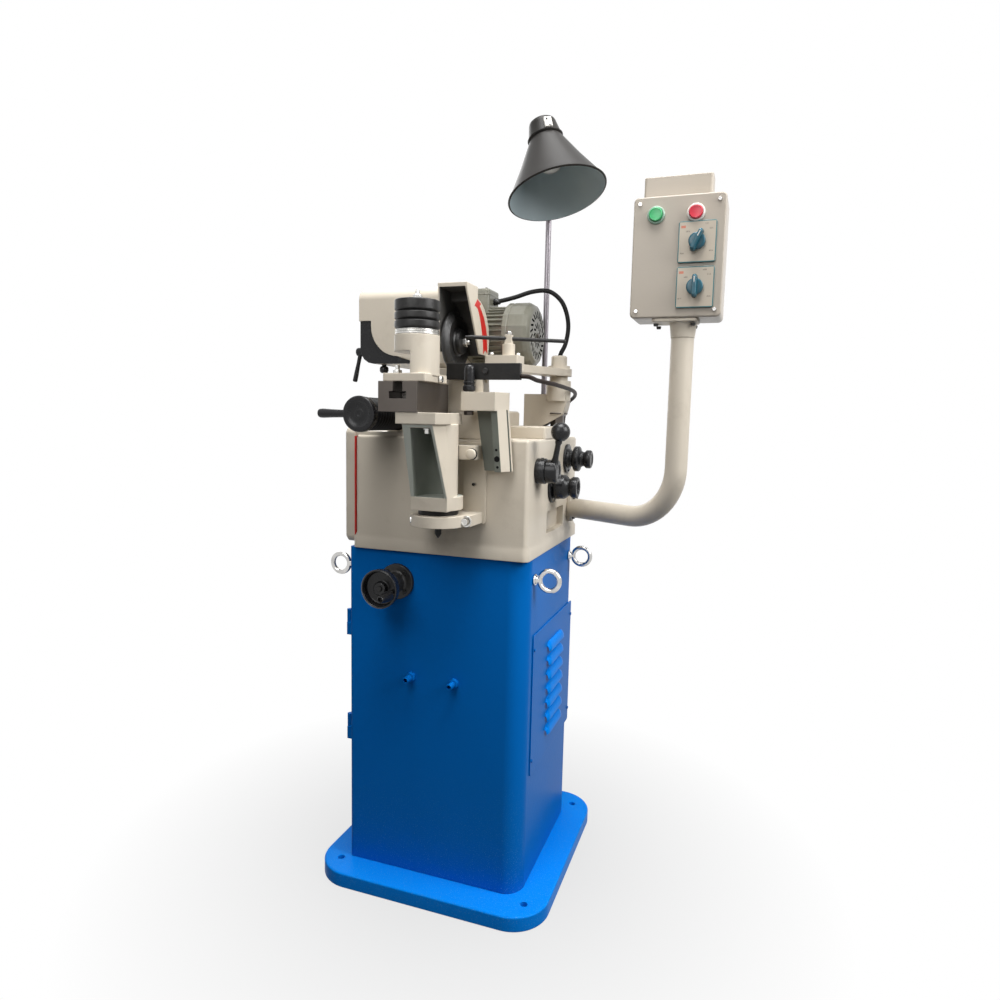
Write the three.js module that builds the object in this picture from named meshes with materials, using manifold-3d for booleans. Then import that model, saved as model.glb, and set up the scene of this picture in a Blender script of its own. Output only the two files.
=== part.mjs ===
// An automatic sharpening machine for circular saw blades, on a sheet-steel pedestal.
// Units are millimetres. +Z is up, -Y is the operator's side and +X is the control-box side.
// The origin is the middle of the base plate's underside, on the floor.
import * as THREE from 'three';
import { mergeVertices } from 'three/addons/utils/BufferGeometryUtils.js';
import Module from 'manifold-3d';

const wasm = await Module();
wasm.setup();

// Clearances and drawing fineness shared by every piece.
const seat = 0.3;
const running = 0.5;
const overrun = 3;
const sides = { large: 24, round: 16, small: 10, cord: 6, lead: 8 };
const curve = { corner: 1, bend: 2, round: 5, fine: 10 };

// Pedestal.
const plate = {
  halfX: 244, halfY: 241, thick: 31, cornerR: 75, edge: 3, anchorInX: 43, anchorInY: 49, anchorR: 7,
};
const column = { halfX: 186, halfY: 181, cornerR: 38, doorCornerR: 8, wall: 3, roof: 5, top: 692 };
const door = { front: -160, back: 160, bottom: 262, top: 598, sheet: 2, lap: 12, cornerR: 8 };
const doorHinge = {
  radius: 5, height: 52, lowerZ: 286, upperZ: 508, pinR: 2.4, leaf: 3, leafWide: 16, weldWide: 8, ahead: 9,
};
const doorLatch = {
  radius: 14, length: 18, y: 130, z: 430, shankR: 6, tongue: 30, tongueWide: 14, tongueThick: 3,
};
const louvrePanel = { front: -131, back: 165, bottom: 254, top: 539, sheet: 2, lap: 14, cornerR: 5 };
const louvre = { count: 7, front: -30, back: 82, firstZ: 300, pitch: 30, radius: 11.5, wall: 1.6 };
const shelf = { z: 250, thick: 4, lip: 22 };
const eyeBolt = {
  ringR: 19, wireR: 5, shankR: 6, collarR: 11, collar: 4, z: 650, rightY: 133, rightReach: 30, leftY: 153,
  leftReach: 36,
};
const spigot = {
  leftX: -47, rightX: 45, z: 442, radius: 6, bore: 4, reach: 26, nutR: 10, nut: 6, droop: 14,
};
const spindle = { x: -77, z: 632, flangeR: 35, flange: 9, hubR: 19, hubTo: 56, radius: 8, inside: 46 };
const spindleWheel = { radius: 37, rim: 8, depth: 22, web: 7, hubR: 13, hubSunk: 4, edge: 3 };
const spindleGrip = {
  radius: 10, tipR: 6.5, length: 38, offX: 25, offZ: -8, pinR: 3, bossR: 8, cupR: 4, cup: 6,
};

// Cream body casting with its left cover.
const body = { left: -175.7, right: 189, front: -188, back: 186, top: 914, cornerR: 12 };
const bodySkirt = { height: 22, slope: 8, proud: 5 };
const bodyPad = { left: -169, right: -59, back: -6, rise: 8 };
const bodyPocket = { side: 24, end: 26, roof: 20 };
const cover = { thick: 24, front: -175, back: 173, bottom: 700, top: 930, cornerR: 14, edge: 5 };
const handHole = { front: -50, back: 79, bottom: 725, top: 770, deep: 14, cornerR: 5 };

// Drive inside the pedestal and the body.
const camShaft = {
  y: -17, z: 818, radius: 12, camR: 34, camThrow: 12, camWide: 18, camFirstX: 20, camPitch: 52, camCount: 2,
};
const belt = { x: -92, wide: 10, thick: 8, flange: 3, flangeOver: 4, clear: 0.6 };
const camPulley = { radius: 62, hubR: 22, hub: 10 };
const driveMotor = {
  radius: 58, length: 170, z: 348, footWide: 120, footThick: 8, shaftR: 9, pulleyR: 30, boreGap: 26,
};

// Controls on the right face of the body.
const lever = {
  y: -123, z: 856, bearingR: 24, bearing: 18, hubR: 22, hub: 22, armR: 5.5, armTipR: 4, armLength: 82,
  lean: 20.6, outward: 14, ballR: 17.5, shaftR: 9,
};
const upperKnob = {
  y: 95, z: 869, flangeR: 31, flange: 5, neckR: 17, rimR: 27, endR: 19.5, length: 51, shaftR: 8,
};
const lowerKnob = {
  flangeR: 33, flange: 5, bodyR: 25, waistR: 17, endR: 21, length: 50, recessR: 13, recess: 4,
};

// Control arm and box.
const arm = {
  radius: 21.2, wall: 3, flangeY: 130, flangeZ: 759, flangeHalfY: 24, flangeHalfZ: 31, flangeThick: 9,
  toX: 425, toY: 0, rise: 386, bend: 105,
};
const box = {
  x: 411, front: -33, back: 57, bottom: 1144, top: 1362, halfX: 82.5, cornerR: 9, wall: 2.5, lid: 16,
  floor: 3,
};
const boxPlate = { halfX: 42, halfY: 30, thick: 6 };
const boxRear = { left: 340, right: 466, front: 5, back: 50, height: 46, cornerR: 6 };
const pushButton = {
  bezelR: 16, bezel: 5, capR: 12, travel: 4, proud: 5, z: 1328, leftX: -41, rightX: 30, shankR: 9,
  bodyDeep: 34,
};
const camSwitch = {
  halfX: 33.5, halfZ: 36.5, thick: 4, cornerR: 4, x: 34.5, upperZ: 1277, lowerZ: 1197, knobR: 15,
  knobDeep: 10, gripWide: 9, gripDeep: 22, gripLong: 42, bodyDeep: 40, bodyR: 20, upperTurn: 25,
};

// Blade holder on the front of the body.
const pivot = { x: 38, y: -248 };
const bracket = {
  left: 61, right: 105, bottom: 757, top: 908, plate: 6, lugR: 50, lugBottom: 760, lugTop: 780,
  upperBottom: 878, upperTop: 903, cornerR: 6, holeR: 3, holeX: 85, holeZ: 831,
};
const pivotPin = { radius: 12, washerR: 36, washer: 9.6, headR: 6, drop: 12, up: 18 };
const swing = {
  footR: 44, footTop: 814, backR: 34, left: 4, rightTop: 61, rightFoot: 74, frontTop: -326, frontFoot: -292,
  wallLeftTop: 15, wallLeftFoot: 7, wallRight: 5, rear: 10, lintel: 6, top: 940, headTop: 959.7,
  headLeft: -7.5, headRight: 67, headFront: -328, headBack: -214,
};
const slotBlock = {
  x: -2.5, halfX: 36.5, front: -330, back: -201, height: 51, slot: 18, tee: 32, teeBottom: 22, teeTop: 34,
};
const carriage = {
  x: 10.5, y: -283, baseLeft: -36, baseRight: 46, baseFront: -322, baseBack: -232, base: 13.5, neckRise: 37,
  neckLeft: 16, headR: 39, head: 28, keyFront: -286, cornerR: 5,
};
const arbor = {
  ringR: 38, ring: 9, collarR: 39, collarRelief: 3, collarEdge: 2, studR: 4, nutR: 8, nut: 7, studUp: 19,
  washerR: 10, washer: 2.5, grooveR: 12.5, groove: 0.6,
};
const collarHeights = [14.2, 14.2, 20];

// Crank with its ribbed sleeve, to the left of the blade holder.
const crank = {
  x: -94, z: 955, discR: 32, disc: 14, front: -302, sleeveR: 30, sleeveTo: -150, ribs: 14, ribDeep: 2.6,
  gripR: 8.5, gripFrom: 24, gripTo: 84, shaftR: 9,
};
const crankStand = { halfX: 34, front: -140, back: -96, edge: 4 };

// Saddle and grinding head on top of the body.
const saddle = {
  left: -58, right: 98, middle: 30, rearLeft: -136, rearRight: 60, front: -181, back: 120, step: 967,
  webLeft: -22, webRight: 58, webTop: 1042, webThick: 20, earHalf: 14, earInner: 38, earMid: -60, earY: 66,
  earZ: 1036, earR: 16, pinR: 8,
};
const head = {
  left: -200, right: -10.3, front: -120, back: 96, bottom: 1056, top: 1204, cornerR: 30, wall: 12,
  frontEdge: 22, notchWide: 27, notchFoot: 14, notchTop: 1140, notchDeep: 5, notchR: 60, spindleDeep: 70,
};
const wheel = {
  x: -5, y: -100, z: 1098, radius: 58, thick: 17, dish: 9, hubR: 24, hub: 8, nutR: 10, nut: 9, shaftR: 11,
  bossR: 18,
};
const guard = {
  left: -10, right: 49, wall: 4, arcY: -111, arcZ: 1104, arcR: 76, frontTop: -158, frontBottom: -84,
  top: 1201, bottom: 1076, lid: 8, leftBottom: -150,
};
const motor = {
  y: 24, z: 1122, finTo: 75, right: 132, radius: 55, cowlR: 66, fins: 16, finOut: 4.5, finThick: 3.4,
  cowlEdge: 14, vents: 10, ventR: 4.2, ventRing: 42, endR: 55, flangeR: 56, flange: 8, shaftR: 7, shaft: 40,
};
const terminalBox = {
  left: -9, right: 37, front: -10, back: 54, bottom: 1160, top: 1216, cornerR: 8, chamfer: 5,
};
const clampLever = { y: -99, z: 1081, hubR: 9, hub: 16, length: 62, rodR: 5, lean: 13, shaftR: 5 };
const infeedKnob = { x: -158, y: -92, radius: 9, length: 17, neckR: 4.5, inside: 10 };

// Feed post, feed arm and pawl rod.
const post = {
  x: 173, y: 50, radius: 16.5, top: 1083, bossR: 26, bossBottom: 990, bossTop: 1031.5, neckR: 19, bore: 7,
};
const postBase = {
  left: 98.4, right: 182, front: -66, back: 82, thick: 24, cornerR: 6, webThick: 34, webLeft: 104,
  webFoot: 140, webSide: 195, webSideLow: 962, webSideHigh: 985, webTop: 1004,
};
const postNut = { radius: 15, height: 26, studR: 8 };
const feedArm = {
  bottom: 1041, thick: 15, collarR: 27, collarTop: 1062, blockLeft: 75, blockRight: 142, blockFront: -130,
  blockBack: -88, blockTop: 1070, bossX: 116, bossY: -108, bossR: 12, bossTop: 1092, tailWide: 40,
  cornerR: 4,
};
const pawl = {
  radius: 3.6, z: 1102, behind: 112, ahead: 84, turn: 58, flat: 10, tip: 2, screwR: 7, screwWide: 13,
  stemR: 3, headR: 5.5, head: 6,
};

// Guide bar with its adjusting screw and the bracket that hangs from it.
const guide = {
  left: 27, right: 168, back: -184, deep: 12, bottom: 1021, top: 1050, restLeft: 72, restRight: 98,
};
const adjuster = { x: 77, radius: 8.5, collarR: 10.5, headR: 9, head: 8, top: 1046 };
const hanger = {
  left: 70, right: 148, frontRight: 134, front: -228, back: -190, bottom: 965, top: 998, legLeftTop: 89,
  legLeftFoot: 106, legRightFoot: 158, foot: 858, backWall: 8, sideWall: 12, holeX: 131, holeR: 5,
  dowelR: 2.4, holeZ: 882, dowelGap: 15,
};

// Work lamp.
const lamp = { x: 127, y: 100, rodR: 6, baseR: 16, base: 12, rodTop: 1494, knuckleR: 9, linkR: 5 };
const shade = {
  rimR: 96.5, neckR: 32.5, topR: 24.5, bead: 3, cone: 116, neck: 31.5, cap: 7, wall: 2, lean: 16, pitch: 8,
  x: 173, y: -3, rimZ: 1388, socketR: 15, socket: 44, bulbR: 27, bulb: 60,
};

// Leads that the machine holds at both ends.
const cordR = 4.5;

// Geometry helpers. Corners are snapped to a fine grid, so that equal ones always meet.
const gridSteps = 1024;

function weld(geometry) {
  const bare = geometry.clone();
  const corners = bare.attributes.position.array;
  for (let i = 0; i < corners.length; i += 1) corners[i] = Math.round(corners[i] * gridSteps) / gridSteps;
  for (const name of ['normal', 'uv']) bare.deleteAttribute(name);
  const merged = mergeVertices(bare.index ? bare.toNonIndexed() : bare);
  const index = merged.index.array;
  const kept = [];
  for (let i = 0; i < index.length; i += 3) {
    const [a, b, c] = [index[i], index[i + 1], index[i + 2]];
    if (a !== b && b !== c && a !== c) kept.push(a, b, c);
  }
  merged.setIndex(kept);
  return merged;
}

function signedVolume(geometry) {
  const position = geometry.attributes.position;
  const index = geometry.index.array;
  const corner = [new THREE.Vector3(), new THREE.Vector3(), new THREE.Vector3()];
  let sum = 0;
  for (let i = 0; i < index.length; i += 3) {
    corner.forEach((vertex, k) => vertex.fromBufferAttribute(position, index[i + k]));
    sum += corner[0].dot(corner[1].clone().cross(corner[2]));
  }
  return sum;
}

// A closed three.js geometry as a solid whose faces point outwards.
function solid(geometry) {
  const welded = weld(geometry);
  const triVerts = Uint32Array.from(welded.index.array);
  if (signedVolume(welded) < 0) {
    for (let i = 0; i < triVerts.length; i += 3) {
      [triVerts[i], triVerts[i + 1]] = [triVerts[i + 1], triVerts[i]];
    }
  }
  const vertProperties = Float32Array.from(welded.attributes.position.array);
  return new wasm.Manifold(new wasm.Mesh({ numProp: 3, vertProperties, triVerts }));
}

function geometryOf(part) {
  const mesh = part.getMesh();
  const geometry = new THREE.BufferGeometry();
  geometry.setAttribute('position', new THREE.BufferAttribute(mesh.vertProperties, 3));
  geometry.setIndex(Array.from(mesh.triVerts));
  return geometry;
}

function joined(...parts) {
  return parts.flat().reduce((whole, part) => whole.add(part));
}

function cut(part, ...tools) {
  return tools.flat().reduce((whole, tool) => whole.subtract(tool), part);
}

function moved(part, matrix) {
  return solid(geometryOf(part).applyMatrix4(matrix));
}

// A turn by degrees about an axis through a point.
function turnAbout(point, axis, degrees) {
  const matrix = new THREE.Matrix4().makeTranslation(...point);
  matrix.multiply(
    new THREE.Matrix4().makeRotationAxis(new THREE.Vector3(...axis), THREE.MathUtils.degToRad(degrees))
  );
  return matrix.multiply(new THREE.Matrix4().makeTranslation(...point.map((value) => -value)));
}

function block(left, right, front, back, bottom, top) {
  const geometry = new THREE.BoxGeometry(right - left, back - front, top - bottom);
  return solid(geometry.translate((left + right) / 2, (front + back) / 2, (bottom + top) / 2));
}

function roundedOutline(left, right, bottom, top, radius, leftRadius = radius) {
  const shape = new THREE.Shape();
  shape.moveTo(left + leftRadius, bottom);
  shape.lineTo(right - radius, bottom);
  shape.absarc(right - radius, bottom + radius, radius, -Math.PI / 2, 0);
  shape.lineTo(right, top - radius);
  shape.absarc(right - radius, top - radius, radius, 0, Math.PI / 2);
  shape.lineTo(left + leftRadius, top);
  shape.absarc(left + leftRadius, top - leftRadius, leftRadius, Math.PI / 2, Math.PI);
  shape.lineTo(left, bottom + leftRadius);
  shape.absarc(left + leftRadius, bottom + leftRadius, leftRadius, Math.PI, Math.PI * 1.5);
  return shape;
}

function polygon(points) {
  return new THREE.Shape(points.map(([across, up]) => new THREE.Vector2(across, up)));
}

// Turns a solid drawn in its own plane so that its depth runs along x, y or z.
const standing = {
  x: new THREE.Matrix4().makeBasis(
    new THREE.Vector3(0, 1, 0), new THREE.Vector3(0, 0, 1), new THREE.Vector3(1, 0, 0),
  ),
  y: new THREE.Matrix4().makeBasis(
    new THREE.Vector3(1, 0, 0), new THREE.Vector3(0, 0, 1), new THREE.Vector3(0, -1, 0),
  ),
  z: new THREE.Matrix4(),
};

// An outline drawn as seen along x (y, z), y (x, z) or z (x, y), made into a slab between two planes.
function slab(axis, outline, from, to, curveSegments = curve.corner, edge = 0) {
  const options = { depth: to - from - 2 * edge, curveSegments, bevelEnabled: edge > 0 };
  if (edge > 0) Object.assign(
    options, { bevelSize: edge, bevelThickness: edge, bevelOffset: -edge, bevelSegments: 1 },
  );
  const geometry = new THREE.ExtrudeGeometry(outline, options);
  geometry.translate(0, 0, axis === 'y' ? edge - to : from + edge);
  return solid(geometry.applyMatrix4(standing[axis]));
}

const layDown = {
  x: (geometry) => geometry.rotateZ(-Math.PI / 2),
  y: (geometry) => geometry,
  z: (geometry) => geometry.rotateX(Math.PI / 2),
};

function offCentre(axis, [first, second]) {
  if (axis === 'x') return [0, first, second];
  if (axis === 'y') return [first, 0, second];
  return [first, second, 0];
}

// A turned piece: profile of [radius, distance along the axis], ending on the axis or closed on itself.
function turned(axis, profile, centre, count = sides.round) {
  const points = profile.map(([radius, along]) => new THREE.Vector2(radius, along));
  const geometry = layDown[axis](new THREE.LatheGeometry(points, count));
  return solid(geometry.translate(...offCentre(axis, centre)));
}

function rod(axis, radius, from, to, centre, count = sides.round) {
  return turned(axis, [[0, from], [radius, from], [radius, to], [0, to]], centre, count);
}

function ball(radius, [x, y, z], count = sides.round) {
  return solid(new THREE.SphereGeometry(radius, count, count / 2).translate(x, y, z));
}

// A body through a list of rings with equally many points, closed by a flat cap at each end.
function loft(rings) {
  const count = rings[0].length;
  const position = rings.flat().flatMap((point) => [point.x, point.y, point.z]);
  const index = [];
  for (let ring = 0; ring + 1 < rings.length; ring += 1) {
    for (let i = 0; i < count; i += 1) {
      const a = ring * count + i;
      const b = ring * count + ((i + 1) % count);
      index.push(a, b, a + count, b, b + count, a + count);
    }
  }
  const normal = new THREE.Vector3().subVectors(rings.at(-1)[0], rings[0][0]);
  const flat = (ring) => {
    const wide = Math.abs(normal.x) >= Math.max(Math.abs(normal.y), Math.abs(normal.z));
    const deep = !wide && Math.abs(normal.y) >= Math.abs(normal.z);
    if (wide) return ring.map((point) => new THREE.Vector2(point.y, point.z));
    return ring.map(
      (point) => (deep ? new THREE.Vector2(point.z, point.x) : new THREE.Vector2(point.x, point.y))
    );
  };
  const last = (rings.length - 1) * count;
  const forward = THREE.ShapeUtils.area(flat(rings[0])) > 0;
  for (const [a, b, c] of THREE.ShapeUtils.triangulateShape(flat(rings[0]), [])) {
    index.push(...(forward ? [a, c, b] : [a, b, c]));
  }
  for (const [a, b, c] of THREE.ShapeUtils.triangulateShape(flat(rings.at(-1)), [])) {
    index.push(...(forward ? [last + a, last + b, last + c] : [last + a, last + c, last + b]));
  }
  const geometry = new THREE.BufferGeometry();
  geometry.setAttribute('position', new THREE.Float32BufferAttribute(position, 3));
  geometry.setIndex(index);
  return solid(geometry);
}

// Outline points without repeats, so that rings of one shape always pair up.
function distinct(points) {
  return points.filter((point, i) => point.distanceTo(points.at(i - 1)) > 1e-6);
}

// A rounded block whose outline is drawn in by an inset at each level along an axis.
function stepped(axis, left, right, bottom, top, radius, levels, curveSegments = curve.bend) {
  const place = {
    x: (u, v, level) => new THREE.Vector3(level, u, v),
    y: (u, v, level) => new THREE.Vector3(u, level, v),
    z: (u, v, level) => new THREE.Vector3(u, v, level),
  };
  const rings = levels.map(([level, inset]) => {
    const corner = Math.max(radius - inset, radius / 4);
    const outline = roundedOutline(left + inset, right - inset, bottom + inset, top - inset, corner);
    return distinct(outline.getPoints(curveSegments)).map((point) => place[axis](point.x, point.y, level));
  });
  return loft(rings);
}

// A round cord or bent pipe along a smooth line through points.
function alongLine(points, radius, steps, count = sides.lead, tension = 0.5) {
  const line = new THREE.CatmullRomCurve3(
    points.map((point) => new THREE.Vector3(...point)), false, 'catmullrom', tension,
  );
  return alongCurve(line, radius, steps, count);
}

function alongCurve(line, radius, steps, count) {
  const section = new THREE.Shape().absarc(0, 0, radius, 0, Math.PI * 2);
  const ring = polygon(section.getPoints(count / 2).slice(0, -1).map((point) => [point.x, point.y]));
  return solid(new THREE.ExtrudeGeometry(ring, { steps, bevelEnabled: false, extrudePath: line }));
}

// Paints and finishes, by name.
const finishes = {
  blue_paint: { color: 0x0a6fd6, roughness: 0.4, metalness: 0.1 },
  cream_paint: { color: 0xd2c7b0, roughness: 0.5, metalness: 0.05 },
  motor_paint: { color: 0xa9ae93, roughness: 0.45, metalness: 0.1 },
  black_plastic: { color: 0x1b1b1d, roughness: 0.4, metalness: 0 },
  black_steel: { color: 0x242425, roughness: 0.45, metalness: 0.7 },
  machined_steel: { color: 0x8b8580, roughness: 0.35, metalness: 0.95 },
  bright_steel: { color: 0xd5d6d8, roughness: 0.2, metalness: 1 },
  grinding_grit: { color: 0x2a2927, roughness: 0.85, metalness: 0 },
  shade_paint: { color: 0x4b4a47, roughness: 0.3, metalness: 0.7 },
  rubber: { color: 0x141414, roughness: 0.7, metalness: 0 },
  green_cap: { color: 0x3fa35c, roughness: 0.35, metalness: 0 },
  red_cap: { color: 0xc8344a, roughness: 0.35, metalness: 0 },
  teal_knob: { color: 0x04688a, roughness: 0.4, metalness: 0 },
  white_plate: { color: 0xe4e8e8, roughness: 0.45, metalness: 0 },
};

const machine = new THREE.Group();

function addPart(name, part, finish, parent = machine) {
  const material = new THREE.MeshStandardMaterial(finishes[finish]);
  const mesh = new THREE.Mesh(geometryOf(part), material);
  mesh.name = name;
  parent.add(mesh);
  return mesh;
}

function groupAt(position, rotation = [0, 0, 0]) {
  const group = new THREE.Group();
  group.position.set(...position);
  group.rotation.set(...rotation);
  machine.add(group);
  return group;
}

// Places worked out from the driving sizes.
const columnBottom = plate.thick + seat;
const bodyBottom = column.top + seat;
const bodyFace = { right: body.right - bodySkirt.proud, front: body.front + bodySkirt.proud };
const rightSeat = bodyFace.right + seat;
const bodyTopSeat = body.top + seat;
const sideWall = column.halfX;

const hingeX = -sideWall - seat - door.sheet - doorHinge.radius;
const hingeY = door.front - doorHinge.ahead;

// The lower half of each lift-off hinge, welded to the column, with its pin.
function hingeLeaves() {
  return [doorHinge.lowerZ, doorHinge.upperZ].map((z) => {
    const middle = z + doorHinge.height / 2;
    const pinTop = z + doorHinge.height - doorHinge.leaf - seat;
    const barrel = rod('z', doorHinge.radius, z, middle, [hingeX, hingeY], sides.small);
    const leaf = block(hingeX, column.wall - sideWall, hingeY - doorHinge.weldWide, hingeY, z, middle);
    const pin = rod('z', doorHinge.pinR, middle - overrun, pinTop, [hingeX, hingeY], sides.small);
    return joined(barrel, leaf, pin);
  });
}

function makeBasePlate() {
  const outline = roundedOutline(-plate.halfX, plate.halfX, -plate.halfY, plate.halfY, plate.cornerR);
  const anchors = [-1, 1].flatMap((sx) => [-1, 1].map((sy) => (
    rod('z', plate.anchorR, -overrun, plate.thick + overrun, [
      sx * (plate.halfX - plate.anchorInX), sy * (plate.halfY - plate.anchorInY),
    ], sides.small)
  )));
  addPart(
    'base_plate', cut(slab('z', outline, 0, plate.thick, curve.bend, plate.edge), anchors), 'blue_paint',
  );
}

// The belt runs in the plane x = belt.x from the drive motor up to the cam shaft.
const beltInnerTop = camPulley.radius + belt.clear;
const beltInnerLow = driveMotor.pulleyR + belt.clear;

function beltOutline(topR, lowR) {
  const span = camShaft.z - driveMotor.z;
  const lean = Math.asin((topR - lowR) / span);
  const shape = new THREE.Shape();
  shape.absarc(camShaft.y, camShaft.z, topR, -lean, Math.PI + lean);
  shape.absarc(camShaft.y, driveMotor.z, lowR, Math.PI + lean, Math.PI * 2 - lean);
  shape.closePath();
  return shape;
}

// The column's outline, drawn in by an inset; its corners on the door's side are tighter.
function columnOutline(inset) {
  const inX = column.halfX - inset;
  const inY = column.halfY - inset;
  return roundedOutline(-inX, inX, -inY, inY, column.cornerR - inset, column.doorCornerR - inset);
}

// The opening behind a panel that overlaps its edges by a lap.
function openingBehind(panel, from, to) {
  const { front, back, bottom, top, lap, cornerR } = panel;
  return slab(
    'x', roundedOutline(front + lap, back - lap, bottom + lap, top - lap, cornerR), from, to, curve.corner,
  );
}

function makeColumn() {
  const { halfX, halfY, wall, roof, top } = column;
  const inX = halfX - wall;
  const inY = halfY - wall;
  const skin = slab('z', columnOutline(0), columnBottom, top, curve.bend);
  const inside = slab('z', columnOutline(wall), columnBottom - overrun, top - roof, curve.bend);
  const doorway = openingBehind(door, -halfX - overrun, overrun - inX);
  const vent = openingBehind(louvrePanel, inX - overrun, halfX + overrun);
  const beltGap = belt.flangeOver + belt.thick;
  const slotX = belt.wide + beltGap;
  const slotY = camPulley.radius + beltGap * 2;
  const beltSlot = block(
    belt.x - slotX, belt.x + slotX, camShaft.y - slotY, camShaft.y + slotY,
    top - roof - overrun, top + overrun,
  );
  const spindleHole = rod(
    'y', spindle.radius + running, -halfY - overrun, overrun - inY, [spindle.x, spindle.z], sides.small,
  );
  const eyeHoles = eyeBoltPlaces().map(({ side, y }) => (
    rod(
      'x', eyeBolt.shankR + seat, side * halfX - overrun - wall, side * halfX + overrun + wall,
      [y, eyeBolt.z], sides.small,
    )
  ));
  const shell = cut(skin, inside, doorway, vent, beltSlot, spindleHole, eyeHoles);
  addPart('pedestal_column', cut(joined(shell, hingeLeaves(), hoseSpigots()), spigotBores()), 'blue_paint');
}

// The drive motor's shelf: a sheet folded down at the front and the back, bolted between the walls.
function makeShelf() {
  const { z, thick, lip } = shelf;
  const deck = slab('z', columnOutline(column.wall + seat), z, z + thick, curve.bend);
  const reach = column.halfY - column.wall - seat;
  const wide = column.halfX - column.cornerR;
  const lips = [-1, 1].map((end) => {
    const [from, to] = end < 0 ? [-reach, thick - reach] : [reach - thick, reach];
    return block(-wide, wide, from, to, z - lip, z + thick / 2);
  });
  addPart('motor_shelf', joined(deck, lips), 'blue_paint');
}

// One pressed louvre: a quarter of a long round-ended shell, open at its lower edge.
function louvreHood(radius, z, face) {
  const { front, back } = louvre;
  const core = rod('y', radius, front + louvre.radius, back - louvre.radius, [face, z], sides.small);
  const ends = [front + louvre.radius, back - louvre.radius].map(
    (y) => ball(radius, [face, y, z], sides.small)
  );
  return joined(core, ends);
}

function makeLouvrePanel() {
  const { front, back, bottom, top, sheet, cornerR } = louvrePanel;
  const inner = sideWall + seat;
  const face = inner + sheet;
  let panel = slab('x', roundedOutline(front, back, bottom, top, cornerR), inner, face, curve.corner);
  for (let i = 0; i < louvre.count; i += 1) {
    const z = louvre.firstZ + i * louvre.pitch;
    const hood = cut(
      louvreHood(louvre.radius, z, inner),
      block(inner - louvre.radius * 2, inner, front, back, z - louvre.pitch, z + louvre.pitch),
      block(inner - overrun, face + louvre.radius * 2, front, back, z - louvre.pitch, z),
    );
    const hollow = cut(
      louvreHood(louvre.radius - louvre.wall, z, inner),
      block(inner - overrun, face + louvre.radius * 2, front, back, z - louvre.pitch, z - louvre.wall),
    );
    panel = cut(panel.add(hood), hollow);
  }
  addPart('louvre_panel', panel, 'blue_paint');
}

function makeDoor() {
  const outer = -sideWall - seat - door.sheet;
  const panel = slab(
    'x', roundedOutline(door.front, door.back, door.bottom, door.top, door.cornerR), outer,
    -sideWall - seat, curve.corner,
  );
  const knuckles = [doorHinge.lowerZ, doorHinge.upperZ].map((z) => {
    const middle = z + doorHinge.height / 2 + seat;
    const top = z + doorHinge.height;
    const barrel = rod('z', doorHinge.radius, middle, top, [hingeX, hingeY], sides.small);
    const leaf = block(
      hingeX - doorHinge.leaf / 2, outer + door.sheet / 2, hingeY, door.front + doorHinge.leafWide, middle,
      top,
    );
    const bore = rod(
      'z', doorHinge.pinR + seat, middle - overrun, top - doorHinge.leaf, [hingeX, hingeY], sides.small,
    );
    return { shape: barrel.add(leaf), bore };
  });
  const latchHole = rod(
    'x', doorLatch.shankR + running, outer - overrun, overrun - sideWall, [doorLatch.y, doorLatch.z],
    sides.small,
  );
  addPart(
    'side_door', cut(joined(panel, knuckles.map((k) => k.shape)), knuckles.map((k) => k.bore), latchHole),
    'blue_paint',
  );
  const knob = turned(
    'x',
    [
      [0, outer - seat - doorLatch.length], [doorLatch.radius * 0.7, outer - seat - doorLatch.length],
      [doorLatch.radius, outer - seat - doorLatch.length * 0.7], [doorLatch.radius, outer - seat],
      [0, outer - seat],
    ],
    [doorLatch.y, doorLatch.z], sides.round,
  );
  const inward = -sideWall + column.wall + doorLatch.tongueThick;
  const shank = rod(
    'x', doorLatch.shankR, outer - doorLatch.length / 2, inward + doorLatch.tongueThick,
    [doorLatch.y, doorLatch.z], sides.small,
  );
  const tongue = block(
    inward, inward + doorLatch.tongueThick, doorLatch.y - doorLatch.tongueWide / 2,
    doorLatch.y + doorLatch.tongueWide / 2, doorLatch.z - doorLatch.tongueWide / 2,
    doorLatch.z + doorLatch.tongue,
  );
  addPart('door_latch', joined(knob, shank, tongue), 'black_plastic');
}

// Where the lifting eyes stand: two on each side, the left ones further out and nearer the corners.
function eyeBoltPlaces() {
  const { rightY, rightReach, leftY, leftReach } = eyeBolt;
  return [
    { name: 'eye_bolt_front_right', side: 1, y: -rightY, reach: rightReach },
    { name: 'eye_bolt_rear_right', side: 1, y: rightY, reach: rightReach },
    { name: 'eye_bolt_front_left', side: -1, y: -leftY, reach: leftReach },
    { name: 'eye_bolt_rear_left', side: -1, y: leftY, reach: leftReach },
  ];
}

function makeEyeBolts() {
  const { ringR, wireR, collarR, collar, shankR } = eyeBolt;
  const lay = new THREE.Matrix4().makeRotationX(Math.PI / 2);
  for (const { name, side, y, reach } of eyeBoltPlaces()) {
    const torus = new THREE.TorusGeometry(ringR, wireR, sides.cord, sides.round);
    const ring = solid(torus.applyMatrix4(lay).translate(reach, 0, 0));
    const foot = rod('x', collarR, 0, collar, [0, 0], sides.small);
    const shank = rod('x', shankR, -column.wall * 2, reach - ringR, [0, 0], sides.small);
    const group = groupAt([side * (sideWall + seat), y, eyeBolt.z], [0, 0, side > 0 ? 0 : Math.PI]);
    addPart(name, joined(ring, foot, shank), 'bright_steel', group);
  }
}

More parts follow.
